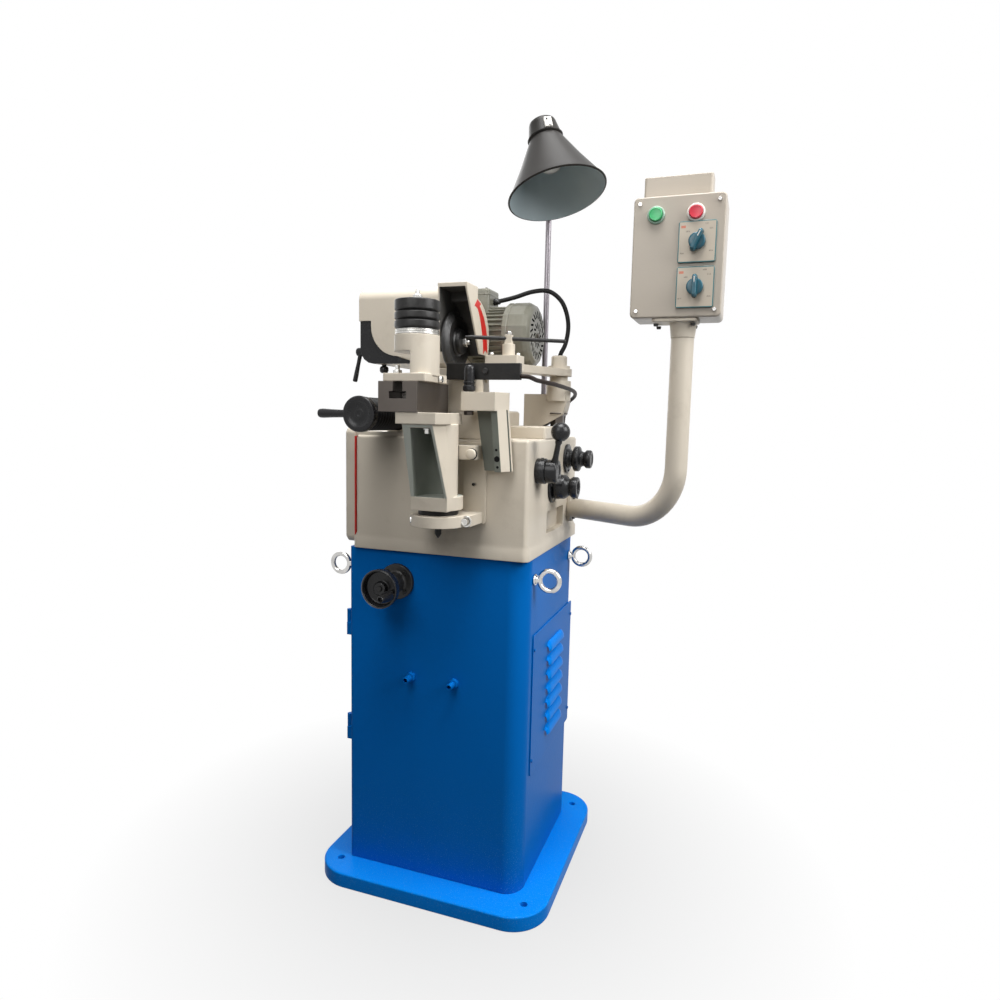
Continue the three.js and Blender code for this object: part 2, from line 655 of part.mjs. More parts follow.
// Two barbed hose spigots let into the column's front.
function hoseSpigots() {
  const face = -column.halfY;
  const { radius, reach, nutR, nut } = spigot;
  return [spigot.leftX, spigot.rightX].map((x) => {
    const centre = [x, spigot.z];
    const hex = rod('y', nutR, face - nut, face + column.wall / 2, centre, 6);
    const tail = rod('y', radius, face - nut / 2, face + column.wall * 3, centre, sides.small);
    const barbs = [[0, face - reach], [radius * 0.75, face - reach]];
    for (const share of [0.8, 0.6, 0.4]) {
      barbs.push([radius, face - reach * share], [radius * 0.8, face - reach * share]);
    }
    barbs.push([radius * 0.8, face - nut / 2], [0, face - nut / 2]);
    return joined(hex, tail, turned('y', barbs, centre, sides.small));
  });
}

function spigotBores() {
  const face = -column.halfY;
  return [spigot.leftX, spigot.rightX].map((x) => (
    rod('y', spigot.bore, face - spigot.reach - overrun, face + column.wall * 4, [x, spigot.z], sides.small)
  ));
}

function makeSpindleWheel() {
  const face = -column.halfY - seat;
  const centre = [spindle.x, spindle.z];
  const flangeFront = face - spindle.flange;
  const bearing = turned(
    'y',
    [
      [0, face - spindle.hubTo], [spindle.hubR * 0.9, face - spindle.hubTo],
      [spindle.hubR, flangeFront - overrun], [spindle.hubR, flangeFront], [spindle.flangeR, flangeFront],
      [spindle.flangeR, face], [0, face],
    ],
    centre, sides.round,
  );
  const bore = rod(
    'y', spindle.radius + running, face - spindle.hubTo - overrun, face + overrun, centre, sides.small,
  );
  addPart('handwheel_bearing', cut(bearing, bore), 'black_steel');
  const back = face - spindle.hubTo - running;
  const front = back - spindleWheel.depth;
  const { radius, rim, web, hubR, hubSunk, edge } = spindleWheel;
  const wheelBody = turned('y', [
    [0, front + hubSunk], [hubR, front + hubSunk], [hubR, back - web], [radius - rim, back - web],
    [radius - rim, front],
    [radius - edge, front], [radius, front + edge], [radius, back - edge], [radius - edge * 2, back],
    [0, back],
  ], centre, sides.large);
  const shaft = rod(
    'y', spindle.radius, back - overrun, face + column.wall + spindle.inside, centre, sides.small,
  );
  const grip = spindleGrip;
  const gripAt = [spindle.x + grip.offX, spindle.z + grip.offZ];
  const gripBack = front - seat;
  const gripFront = gripBack - grip.length;
  const pinFront = gripFront + grip.cup + overrun;
  const gripPin = rod('y', grip.pinR, pinFront, front + overrun, gripAt, sides.small);
  const gripBoss = rod('y', grip.bossR, front, back - web / 2, gripAt, sides.small);
  addPart('pedestal_handwheel', joined(wheelBody, shaft, gripPin, gripBoss), 'black_plastic');
  const handle = turned('y', [
    [0, gripFront + grip.cup], [grip.cupR, gripFront + grip.cup], [grip.cupR, gripFront],
    [grip.tipR, gripFront],
    [grip.radius, gripBack - grip.length / 4], [grip.radius * 0.8, gripBack], [0, gripBack],
  ], gripAt, sides.round);
  const gripBore = rod('y', grip.pinR + seat, pinFront - seat, gripBack + overrun, gripAt, sides.small);
  addPart('handwheel_grip', cut(handle, gripBore), 'black_plastic');
}

function makeDriveMotor() {
  const shelfTop = shelf.z + shelf.thick;
  const start = belt.x + belt.wide / 2 + driveMotor.boreGap;
  const end = start + driveMotor.length;
  const centre = [camShaft.y, driveMotor.z];
  const barrel = turned(
    'x',
    [
      [0, start], [driveMotor.radius - 6, start], [driveMotor.radius, start + 6],
      [driveMotor.radius, end - 10], [driveMotor.radius - 8, end], [0, end],
    ],
    centre, sides.round,
  );
  const foot = block(
    start + 20, end - 30, camShaft.y - driveMotor.footWide / 2, camShaft.y + driveMotor.footWide / 2,
    shelfTop + seat, shelfTop + seat + driveMotor.footThick,
  );
  const neck = block(
    start + 24, end - 34, camShaft.y - driveMotor.footWide / 4, camShaft.y + driveMotor.footWide / 4,
    shelfTop + seat, driveMotor.z,
  );
  const bore = rod(
    'x', driveMotor.shaftR + running, start - overrun, start + driveMotor.boreGap, centre, sides.small,
  );
  addPart('drive_motor', cut(joined(barrel, foot, neck), bore), 'motor_paint');
  addPart(
    'drive_motor_pulley',
    beltPulley(
      driveMotor.pulleyR, driveMotor.pulleyR * 0.6, centre, start + driveMotor.boreGap - seat,
      driveMotor.shaftR,
    ),
    'machined_steel',
  );
}

// A flanged pulley with its shaft stub, centred on the belt.
function beltPulley(radius, hubR, centre, shaftTo, shaftR) {
  const inner = belt.x - belt.wide / 2 - seat;
  const outer = belt.x + belt.wide / 2 + seat;
  const rimR = radius + belt.flangeOver;
  const sheave = turned('x', [
    [0, inner - belt.flange], [rimR, inner - belt.flange], [rimR, inner], [radius, inner],
    [radius, outer], [rimR, outer], [rimR, outer + belt.flange], [hubR, outer + belt.flange],
    [hubR, outer + belt.flange + 6], [0, outer + belt.flange + 6],
  ], centre, sides.large);
  return sheave.add(rod('x', shaftR, outer, shaftTo, centre, sides.small));
}

function makeCamShaft() {
  const centre = [camShaft.y, camShaft.z];
  const outer = belt.x + belt.wide / 2 + seat + belt.flange + 6;
  const from = body.left + seat;
  const to = lowerKnobSocket();
  const bar = rod('x', camShaft.radius, from, to, centre, sides.round);
  const cams = Array.from({ length: camShaft.camCount }, (_, i) => {
    const x = camShaft.camFirstX + i * camShaft.camPitch;
    const turn = (i * Math.PI) / 2;
    const at = [
      camShaft.y + Math.cos(turn) * camShaft.camThrow, camShaft.z + Math.sin(turn) * camShaft.camThrow,
    ];
    return rod('x', camShaft.camR, x, x + camShaft.camWide, at, sides.round);
  });
  const inner = belt.x - belt.wide / 2 - seat;
  const rimR = camPulley.radius + belt.flangeOver;
  const sheave = turned('x', [
    [0, inner - belt.flange], [rimR, inner - belt.flange], [rimR, inner], [camPulley.radius, inner],
    [camPulley.radius, outer - belt.flange - 6], [rimR, outer - belt.flange - 6], [rimR, outer - 6],
    [camPulley.hubR, outer - 6], [camPulley.hubR, outer + 4], [0, outer + 4],
  ], centre, sides.large);
  addPart('cam_shaft', joined(bar, cams, sheave), 'machined_steel');
  const outline = beltOutline(beltInnerTop + belt.thick, beltInnerLow + belt.thick);
  const hole = beltOutline(beltInnerTop, beltInnerLow);
  const loop = cut(
    slab('x', outline, belt.x - belt.wide / 2, belt.x + belt.wide / 2, curve.fine),
    slab('x', hole, belt.x - belt.wide, belt.x + belt.wide, curve.fine),
  );
  addPart('drive_belt', loop, 'rubber');
}

// How far the cam shaft reaches into the lower knob.
function lowerKnobSocket() {
  return rightSeat + lowerKnob.flange + lowerKnob.length / 3;
}

function makeBody() {
  const { left, right, front, back, top, cornerR } = body;
  const { height, slope, proud } = bodySkirt;
  const shell = stepped('z', left, right, front, back, cornerR, [
    [bodyBottom, 0], [bodyBottom + height, 0], [bodyBottom + height + slope, proud], [top - proud, proud],
    [top, proud * 1.8],
  ], curve.bend);
  const pocket = block(
    left + bodyPocket.side, right - bodyPocket.end, front + bodyPocket.end, back - bodyPocket.end,
    bodyBottom - overrun, top - bodyPocket.roof,
  );
  const recess = slab(
    'x', roundedOutline(handHole.front, handHole.back, handHole.bottom, handHole.top, handHole.cornerR),
    bodyFace.right - handHole.deep, right + overrun, curve.corner,
  );
  const shaftBore = rod(
    'x', camShaft.radius + seat, left - overrun, right + overrun, [camShaft.y, camShaft.z], sides.round,
  );
  const leverBore = rod(
    'x', lever.shaftR + seat, right - bodyPocket.end - overrun, right + overrun, [lever.y, lever.z],
    sides.round,
  );
  const knobBore = rod(
    'x', upperKnob.shaftR + seat, right - bodyPocket.end - overrun, right + overrun,
    [upperKnob.y, upperKnob.z], sides.round,
  );
  const casting = cut(shell, pocket, recess, shaftBore, leverBore, knobBore);
  const pad = block(
    bodyPad.left, bodyPad.right, bodyFace.front + proud, bodyPad.back, top - overrun, top + bodyPad.rise,
  );
  addPart('body_casting', joined(casting, pad, crankLug()), 'cream_paint');
  const coverRight = left - seat;
  addPart('left_cover', stepped('x', cover.front, cover.back, cover.bottom, cover.top, cover.cornerR, [
    [coverRight - cover.thick, cover.edge], [coverRight - cover.thick + cover.edge, 0], [coverRight, 0],
  ], curve.bend), 'cream_paint');
}

function makeLever() {
  const centre = [lever.y, lever.z];
  const bearingEnd = rightSeat + lever.bearing;
  const bore = rod(
    'x', lever.shaftR + seat, rightSeat - overrun, bearingEnd + overrun, centre, sides.round,
  );
  addPart(
    'lever_bearing', cut(rod('x', lever.bearingR, rightSeat, bearingEnd, centre, sides.round), bore),
    'black_plastic',
  );
  const hubFrom = bearingEnd + running;
  const hubEnd = hubFrom + lever.hub;
  const hub = turned(
    'x',
    [[0, hubFrom], [lever.hubR, hubFrom], [lever.hubR, hubEnd - 3], [lever.hubR - 3, hubEnd], [0, hubEnd]],
    centre, sides.round,
  );
  const shaft = rod(
    'x', lever.shaftR, rightSeat - bodyPocket.end / 2, hubFrom + overrun, centre, sides.round,
  );
  const armX = hubFrom + lever.hub / 2;
  const rise = lever.armLength - lever.ballR * 0.6;
  const stem = turned(
    'z', [[0, 0], [lever.armR * 1.5, 0], [lever.armR, lever.hubR + 8], [lever.armTipR, rise], [0, rise]],
    [0, 0], sides.small,
  );
  const lean = new THREE.Matrix4().makeTranslation(armX, lever.y, lever.z);
  lean.multiply(new THREE.Matrix4().makeRotationX(THREE.MathUtils.degToRad(lever.lean)));
  lean.multiply(new THREE.Matrix4().makeRotationY(THREE.MathUtils.degToRad(lever.outward)));
  const handle = stem.add(ball(lever.ballR, [0, 0, lever.armLength], sides.round));
  addPart('speed_lever', joined(hub, shaft, moved(handle, lean)), 'black_plastic');
}

function makeRightKnobs() {
  const upperAt = [upperKnob.y, upperKnob.z];
  const ring = turned(
    'x',
    [
      [0, rightSeat], [upperKnob.flangeR, rightSeat], [upperKnob.flangeR, rightSeat + 3],
      [upperKnob.flangeR - 3, rightSeat + upperKnob.flange], [0, rightSeat + upperKnob.flange],
    ],
    upperAt, sides.large,
  );
  const start = rightSeat + upperKnob.flange - 1;
  const reach = upperKnob.length;
  const { neckR, rimR, endR } = upperKnob;
  const upper = turned('x', [
    [0, start], [neckR + 5, start], [neckR, start + reach * 0.12], [neckR + 3, start + reach * 0.2],
    [rimR, start + reach * 0.26], [rimR, start + reach * 0.46], [neckR, start + reach * 0.56],
    [neckR - 2, start + reach * 0.68], [endR, start + reach * 0.74], [endR, start + reach * 0.96],
    [endR - 3, start + reach], [0, start + reach],
  ], upperAt, sides.round);
  const upperShaft = rod(
    'x', upperKnob.shaftR, rightSeat - bodyPocket.end / 2, start + overrun, upperAt, sides.round,
  );
  addPart('upper_knob', joined(ring, upper, upperShaft), 'black_plastic');

  const lowerAt = [camShaft.y, camShaft.z];
  const disc = turned(
    'x',
    [
      [0, rightSeat], [lowerKnob.flangeR, rightSeat], [lowerKnob.flangeR, rightSeat + 3],
      [lowerKnob.flangeR - 3, rightSeat + lowerKnob.flange], [0, rightSeat + lowerKnob.flange],
    ],
    lowerAt, sides.large,
  );
  const socket = rod(
    'x', camShaft.radius + seat, rightSeat - overrun, lowerKnobSocket() + seat, lowerAt, sides.round,
  );
  const from = rightSeat + lowerKnob.flange - 1;
  const far = from + lowerKnob.length;
  const knob = turned('x', [
    [0, from], [lowerKnob.bodyR - 4, from], [lowerKnob.bodyR, from + 5],
    [lowerKnob.bodyR - 2, from + lowerKnob.length * 0.5],
    [lowerKnob.waistR, from + lowerKnob.length * 0.62], [lowerKnob.endR, from + lowerKnob.length * 0.74],
    [lowerKnob.endR, far - 2], [lowerKnob.endR - 2, far], [lowerKnob.recessR, far],
    [lowerKnob.recessR - 2, far - lowerKnob.recess], [0, far - lowerKnob.recess],
  ], lowerAt, sides.round);
  addPart('lower_knob', cut(disc.add(knob), socket), 'black_plastic');
}

function makeControlArm() {
  const flangeX = rightSeat + arm.flangeThick;
  const oval = new THREE.Shape().absellipse(
    arm.flangeY, arm.flangeZ, arm.flangeHalfY, arm.flangeHalfZ, 0, Math.PI * 2,
  );
  const pad = slab('x', oval, rightSeat, flangeX, curve.round);
  const start = new THREE.Vector3(rightSeat, arm.flangeY, arm.flangeZ);
  const corner = new THREE.Vector3(arm.toX, arm.toY, arm.flangeZ);
  const end = new THREE.Vector3(arm.toX, arm.toY, box.bottom - seat - boxPlate.thick / 2);
  const inward = corner.clone().sub(start).normalize();
  const upward = end.clone().sub(corner).normalize();
  const bendFrom = corner.clone().addScaledVector(inward, -arm.bend);
  const bendTo = corner.clone().addScaledVector(upward, arm.bend);
  const bent = new THREE.CatmullRomCurve3(
    armPoints(start, bendFrom, corner, bendTo, end), false, 'catmullrom', 0.5,
  );
  const outside = alongCurve(bent, arm.radius, 18, 14);
  const plateOutline = roundedOutline(
    box.x - boxPlate.halfX, box.x + boxPlate.halfX, arm.toY - boxPlate.halfY, arm.toY + boxPlate.halfY,
    box.cornerR,
  );
  const topPlate = slab(
    'z', plateOutline, box.bottom - seat - boxPlate.thick, box.bottom - seat, curve.corner,
  );
  const inBody = block(body.left, rightSeat, body.front, body.back, bodyBottom, body.top);
  addPart('control_arm', cut(joined(pad, outside, topPlate), inBody), 'cream_paint');
}

// Points on the arm's centre line: straight, a quarter bend, straight.
function armPoints(start, bendFrom, corner, bendTo, end) {
  const points = [start, start.clone().lerp(bendFrom, 0.5), bendFrom];
  const inward = corner.clone().sub(bendFrom).normalize();
  const upward = bendTo.clone().sub(corner).normalize();
  const centre = bendFrom.clone().addScaledVector(upward, arm.bend);
  const steps = 5;
  for (let i = 1; i < steps; i += 1) {
    const angle = (i / steps) * (Math.PI / 2);
    points.push(
      centre.clone().addScaledVector(inward, Math.sin(angle) * arm.bend).addScaledVector(
        upward, -Math.cos(angle) * arm.bend,
      )
    );
  }
  points.push(bendTo, bendTo.clone().lerp(end, 0.5), end);
  return points;
}

function makeControlBox() {
  const { x, front, back, bottom, top, halfX, cornerR, wall, lid } = box;
  const seam = front + lid;
  const caseOuter = slab(
    'y', roundedOutline(x - halfX, x + halfX, bottom, top, cornerR), seam + seat, back, curve.corner,
  );
  const caseInner = slab(
    'y', roundedOutline(x - halfX + wall, x + halfX - wall, bottom + wall, top - wall, cornerR - wall),
    seam - overrun, back - wall, curve.corner,
  );
  const lidOuter = stepped(
    'y', x - halfX, x + halfX, bottom, top, cornerR, [[front, 4], [front + 3, 0], [seam, 0]], curve.corner,
  );
  const lidInner = slab(
    'y', roundedOutline(x - halfX + wall, x + halfX - wall, bottom + wall, top - wall, cornerR - wall),
    front + wall + 1, seam + overrun, curve.corner,
  );
  const holes = [
    ...[pushButton.leftX, pushButton.rightX].map(
      (dx) => rod('y', pushButton.shankR + seat, front - overrun, seam, [x + dx, pushButton.z], sides.small)
    ),
    ...[camSwitch.upperZ, camSwitch.lowerZ].map(
      (z) => rod(
        'y', camSwitch.bodyR / 2 + running * 2, front - overrun, seam, [x + camSwitch.x, z], sides.small,
      )
    ),
  ];
  const fittings = [];
  const rear = slab(
    'z', roundedOutline(boxRear.left, boxRear.right, boxRear.front, boxRear.back, boxRear.cornerR),
    top - wall, top + boxRear.height, curve.corner,
  );
  addPart('control_box', cut(caseOuter, caseInner).add(rear), 'cream_paint');

  const buttons = [
    ['start_button', pushButton.leftX, 'green_cap'], ['stop_button', pushButton.rightX, 'red_cap'],
  ];
  for (const [name, dx, finish] of buttons) {
    const at = [x + dx, pushButton.z];
    const sleeve = turned(
      'y',
      [
        [pushButton.capR + seat, front + 1], [pushButton.capR + seat, front - pushButton.bezel],
        [pushButton.bezelR - 2, front - pushButton.bezel],
        [pushButton.bezelR, front - pushButton.bezel + 2], [pushButton.bezelR, front + 1],
        [pushButton.capR + seat, front + 1],
      ],
      at, sides.round,
    );
    fittings.push(sleeve);
    const capBack = front - seat - pushButton.travel;
    const cap = turned(
      'y',
      [
        [0, front - pushButton.bezel - pushButton.proud],
        [pushButton.capR - 2, front - pushButton.bezel - pushButton.proud],
        [pushButton.capR, front - pushButton.bezel - pushButton.proud + 2], [pushButton.capR, capBack],
        [0, capBack],
      ],
      at, sides.round,
    );
    const shank = rod(
      'y', pushButton.shankR, capBack - 2, front + pushButton.bodyDeep / 2, at, sides.small,
    );
    addPart(name, cap.add(shank), finish);
  }

  const switches = [['upper', camSwitch.upperZ, camSwitch.upperTurn], ['lower', camSwitch.lowerZ, 0]];
  for (const [name, z, turn] of switches) {
    const cx = x + camSwitch.x;
    const faceplate = slab(
      'y',
      roundedOutline(
        cx - camSwitch.halfX, cx + camSwitch.halfX, z - camSwitch.halfZ, z + camSwitch.halfZ,
        camSwitch.cornerR,
      ),
      front - camSwitch.thick, front + 1, curve.corner,
    );
    const hole = rod(
      'y', camSwitch.bodyR / 2 + running * 2, front - camSwitch.thick - overrun, front + overrun, [cx, z],
      sides.small,
    );
    fittings.push(cut(faceplate, hole));
    const knobBack = front - camSwitch.thick - seat;
    const disc = rod('y', camSwitch.knobR, knobBack - camSwitch.knobDeep, knobBack, [cx, z], sides.round);
    const grip = slab(
      'y',
      roundedOutline(
        cx - camSwitch.gripWide / 2, cx + camSwitch.gripWide / 2, z - camSwitch.gripLong / 2,
        z + camSwitch.gripLong / 2, camSwitch.gripWide / 2 - 0.5,
      ),
      knobBack - camSwitch.gripDeep, knobBack, curve.corner,
    );
    const shank = rod(
      'y', camSwitch.bodyR / 2, knobBack - 2, front + camSwitch.bodyDeep / 2, [cx, z], sides.small,
    );
    const knob = joined(disc, grip, shank);
    addPart(`switch_knob_${name}`, moved(knob, turnAbout([cx, 0, z], [0, 1, 0], turn)), 'teal_knob');
  }
  addPart('control_box_lid', joined(cut(lidOuter, lidInner, holes), fittings), 'cream_paint');
}

function makeBladeHolder() {
  const wallFace = bodyFace.front - seat;
  const plateFront = wallFace - bracket.plate;
  const backing = slab(
    'y', roundedOutline(bracket.left, bracket.right, bracket.bottom, bracket.top, bracket.cornerR),
    plateFront, wallFace, curve.corner,
  );
  const lugDisc = rod(
    'z', bracket.lugR, bracket.lugBottom, bracket.lugTop, [pivot.x, pivot.y], sides.large,
  );
  const lugBack = block(
    pivot.x - bracket.lugR, bracket.right - bracket.cornerR, pivot.y, wallFace, bracket.lugBottom,
    bracket.lugTop,
  );
  const upper = block(
    pivot.x - swing.backR, bracket.right - bracket.cornerR, pivot.y + swing.backR / 2, wallFace,
    bracket.upperBottom, bracket.upperTop,
  );
  const nest = rod(
    'z', swing.backR + seat + running, bracket.upperBottom - overrun, bracket.upperTop + overrun,
    [pivot.x, pivot.y], sides.large,
  );
  const gauge = rod(
    'y', bracket.holeR, plateFront - overrun, plateFront + bracket.plate / 2,
    [bracket.holeX, bracket.holeZ], 10,
  );
  const at = [pivot.x, pivot.y];
  const washerTop = bracket.lugTop + pivotPin.washer;
  const footBottom = washerTop + seat;
  const washer = rod('z', pivotPin.washerR, bracket.lugTop - overrun, washerTop, at, sides.round);
  const pin = rod('z', pivotPin.radius, bracket.lugBottom, footBottom + pivotPin.up, at, sides.round);
  const tail = rod(
    'z', pivotPin.headR, bracket.lugBottom - pivotPin.drop, bracket.lugBottom + overrun, at, sides.small,
  );
  const hub = joined(backing, lugDisc, lugBack, cut(upper, nest), washer, pin, tail);
  addPart('pivot_bracket', cut(hub, gauge), 'cream_paint');

  const foot = rod('z', swing.footR, footBottom, swing.footTop, [pivot.x, pivot.y], sides.round);
  const stem = joined(
    rod('z', swing.backR, footBottom, swing.top, [pivot.x, pivot.y], sides.round), channel(footBottom),
  );
  const headBlock = block(
    swing.headLeft, swing.headRight, swing.headFront, swing.headBack, swing.top, swing.headTop,
  );
  const socketTop = footBottom + pivotPin.up + seat;
  const socket = rod(
    'z', pivotPin.radius + seat, footBottom - overrun, socketTop, [pivot.x, pivot.y], sides.round,
  );
  addPart('swing_arm', cut(joined(foot, stem, headBlock), channelRecess(), socket), 'cream_paint');

  const blockBottom = swing.headTop + seat;
  const blockTop = blockBottom + slotBlock.height;
  const { x, halfX, front, back } = slotBlock;
  const steel = block(x - halfX, x + halfX, front, back, blockBottom, blockTop);
  const throat = block(
    x - slotBlock.slot / 2, x + slotBlock.slot / 2, front - overrun, back + overrun,
    blockBottom + slotBlock.teeBottom, blockTop + overrun,
  );
  const tee = block(
    x - slotBlock.tee / 2, x + slotBlock.tee / 2, front - overrun, back + overrun,
    blockBottom + slotBlock.teeBottom, blockBottom + slotBlock.teeTop,
  );
  addPart('tslot_block', cut(steel, throat, tee), 'machined_steel');
  makeCarriage(blockBottom, blockTop);
}

// The swing arm's channel, whose open front leans back and widens towards the foot.
function channel(bottom) {
  const { left, rightTop, rightFoot, frontTop, frontFoot, top } = swing;
  const level = (z, front, right) => [
    [left, front], [right, front], [right, pivot.y], [left, pivot.y],
  ].map(([x, y]) => new THREE.Vector3(x, y, z));
  return loft(
    [
      level(bottom, frontFoot, rightFoot), level(swing.footTop, frontFoot, rightFoot),
      level(top, frontTop, rightTop),
    ]
  );
}

function channelRecess() {
  const {
    left, rightTop, rightFoot, wallLeftTop, wallLeftFoot, wallRight, headFront, backR, rear, lintel,
  } = swing;
  const back = pivot.y + backR - rear;
  const level = (z, from, to) => [
    [from, headFront - overrun], [to, headFront - overrun], [to, pivot.y], [(from + to) / 2, back],
    [from, pivot.y],
  ].map(([x, y]) => new THREE.Vector3(x, y, z));
  return loft([
    level(swing.footTop, left + wallLeftFoot, rightFoot - wallRight),
    level(swing.top - lintel, left + wallLeftTop, rightTop - wallRight),
  ]);
}

function makeCarriage(blockBottom, blockTop) {
  const baseBottom = blockTop + seat;
  const baseTop = baseBottom + carriage.base;
  const headBottom = baseTop + carriage.neckRise;
  const headTop = headBottom + carriage.head;
  const at = [carriage.x, carriage.y];
  const { x } = slotBlock;
  const base = slab(
    'z',
    roundedOutline(
      carriage.baseLeft, carriage.baseRight, carriage.baseFront, carriage.baseBack, carriage.cornerR,
    ),
    baseBottom, baseTop,
  );
  const barrel = rod('z', carriage.headR, baseTop - overrun, headTop, at, sides.large);
  const away = block(
    carriage.x - carriage.headR * 2, carriage.neckLeft, carriage.y - carriage.headR * 2,
    carriage.y + carriage.headR * 2, baseTop, headBottom,
  );
  const throat = blockBottom + slotBlock.teeTop + running;
  const tongueHalf = slotBlock.slot / 2 - running;
  const key = block(
    x - tongueHalf, x + tongueHalf, carriage.keyFront, carriage.baseBack, throat, baseBottom + overrun,
  );
  const nutHalf = slotBlock.tee / 2 - running;
  const nut = block(
    x - nutHalf, x + nutHalf, carriage.keyFront, carriage.baseBack,
    blockBottom + slotBlock.teeBottom + running, blockBottom + slotBlock.teeTop - running,
  );
  const link = block(
    x - tongueHalf, x + tongueHalf, carriage.keyFront, carriage.baseBack,
    blockBottom + slotBlock.teeTop - running * 2, throat + overrun,
  );
  const stackHeight = collarHeights.reduce((sum, height) => sum + height + seat, arbor.ring + seat * 2);
  const studTop = headTop + stackHeight + arbor.studUp;
  const stud = rod('z', arbor.studR, headTop - overrun, studTop, at, sides.small);
  addPart('arbor_carriage', joined(base, cut(barrel, away), key, nut, link, stud), 'cream_paint');

  let z = headTop + seat;
  const ringTop = z + arbor.ring;
  addPart(
    'arbor_ring',
    turned(
      'z',
      [
        [arbor.studR + seat, z], [arbor.ringR, z], [arbor.ringR, z + 3], [arbor.ringR - 1.5, z + 4.5],
        [arbor.ringR, z + 6], [arbor.ringR, ringTop], [arbor.studR + seat, ringTop],
        [arbor.studR + seat, z],
      ],
      at, sides.large,
    ),
    'bright_steel',
  );
  z = ringTop + seat;
  const names = ['arbor_collar_lower', 'arbor_collar_middle', 'arbor_collar_upper'];
  const inner = arbor.studR + seat;
  const outer = arbor.collarR;
  const relief = arbor.collarRelief;
  collarHeights.forEach((height, i) => {
    const top = z + height;
    const upper = i === collarHeights.length - 1;
    const { grooveR, groove } = arbor;
    const grooved = [
      [grooveR + groove, top], [grooveR, top - groove], [grooveR - groove, top], [inner, top],
    ];
    const profile = [
      [inner, z], [outer - relief, z], [outer, z + relief], [outer, top - arbor.collarEdge],
      [outer - arbor.collarEdge, top],
      ...(upper ? grooved : [[inner, top]]), [inner, z],
    ];
    addPart(names[i], turned('z', profile, at, sides.large), 'black_steel');
    z = top + seat;
  });
  const washerTop = z + arbor.washer;
  const washer = rod('z', arbor.washerR, z, washerTop + seat, at, sides.round);
  const hex = rod('z', arbor.nutR, washerTop, washerTop + arbor.nut, at, 6);
  const thread = rod('z', inner, z - overrun, washerTop + arbor.nut + overrun, at, sides.small);
  addPart('arbor_nut', cut(joined(washer, hex), thread), 'bright_steel');
}

function makeCrank() {
  const centre = [crank.x, crank.z];
  const { discR, disc, front, sleeveR, sleeveTo, ribs, ribDeep } = crank;
  const face = turned(
    'y',
    [
      [0, front + 3], [discR - 11, front + 3], [discR - 8, front], [discR - 2, front], [discR, front + 2],
      [discR, front + disc], [0, front + disc],
    ],
    centre, sides.large,
  );
  const pitch = (sleeveTo - front - disc) / ribs;
  const profile = [[0, front + disc - 1]];
  for (let i = 0; i < ribs; i += 1) {
    const y = front + disc + i * pitch;
    profile.push([sleeveR - ribDeep, y], [sleeveR, y + pitch / 2]);
  }
  profile.push([sleeveR - ribDeep, sleeveTo], [0, sleeveTo]);
  const sleeve = turned('y', profile, centre, sides.round);
  const shaft = rod('y', crank.shaftR, sleeveTo - overrun, crankStand.back - 4, centre, sides.round);
  const grip = turned(
    'x',
    [
      [0, crank.x - crank.gripTo], [crank.gripR - 1.5, crank.x - crank.gripTo],
      [crank.gripR, crank.x - crank.gripTo + 2], [crank.gripR * 0.85, crank.x - crank.gripFrom],
      [0, crank.x - crank.gripFrom],
    ],
    [front + disc / 2, crank.z], sides.small,
  );
  addPart('crank_sleeve', joined(face, sleeve, shaft, grip), 'black_plastic');
}

// The bearing lug cast on the body's top, which carries the crank.
function crankLug() {
  const stand = crankStand;
  const centre = [crank.x, crank.z];
  const bore = rod(
    'y', crank.shaftR + seat, stand.front - overrun, stand.back + overrun, centre, sides.round,
  );
  const up = new THREE.Shape();
  up.moveTo(crank.x - crankStand.halfX, body.top - overrun);
  up.lineTo(crank.x + crankStand.halfX, body.top - overrun);
  up.absarc(crank.x, crank.z, crankStand.halfX * 0.72, 0, Math.PI);
  up.closePath();
  return cut(slab('y', up, stand.front, stand.back, curve.bend), bore);
}

function makeSaddle() {
  const { left, right, front, back, step, middle } = saddle;
  const levels = [[bodyTopSeat, 0], [step - 4, 0], [step, 4]];
  const base = joined(
    stepped('z', left, right, front, middle, 8, levels, curve.corner),
    stepped('z', saddle.rearLeft, saddle.rearRight, 0, back, 8, levels, curve.corner),
  );
  const web = slab('x', polygon([
    [front, step - overrun], [front, saddle.webTop], [front + saddle.webThick, saddle.webTop],
    [front + saddle.webThick * 1.6, step + 30], [front + saddle.webThick * 3, step - overrun],
  ]), saddle.webLeft, saddle.webRight);
  const ears = [-1, 1].map((side) => {
    const inner = side * saddle.earInner + saddle.earMid;
    const outer = inner + side * saddle.earHalf * 2;
    const profile = new THREE.Shape();
    profile.moveTo(saddle.earY - saddle.earR - 14, step - overrun);
    profile.lineTo(saddle.earY + saddle.earR + 14, step - overrun);
    profile.absarc(saddle.earY, saddle.earZ, saddle.earR, 0, Math.PI);
    profile.closePath();
    return slab('x', profile, Math.min(inner, outer), Math.max(inner, outer), curve.bend);
  });
  const pin = rod(
    'x', saddle.pinR, saddle.earMid - saddle.earInner - saddle.earHalf * 2 - 4,
    saddle.earMid + saddle.earInner + saddle.earHalf * 2 + 4, [saddle.earY, saddle.earZ], sides.round,
  );
  addPart('head_saddle', joined(base, web, ears, pin), 'cream_paint');
}

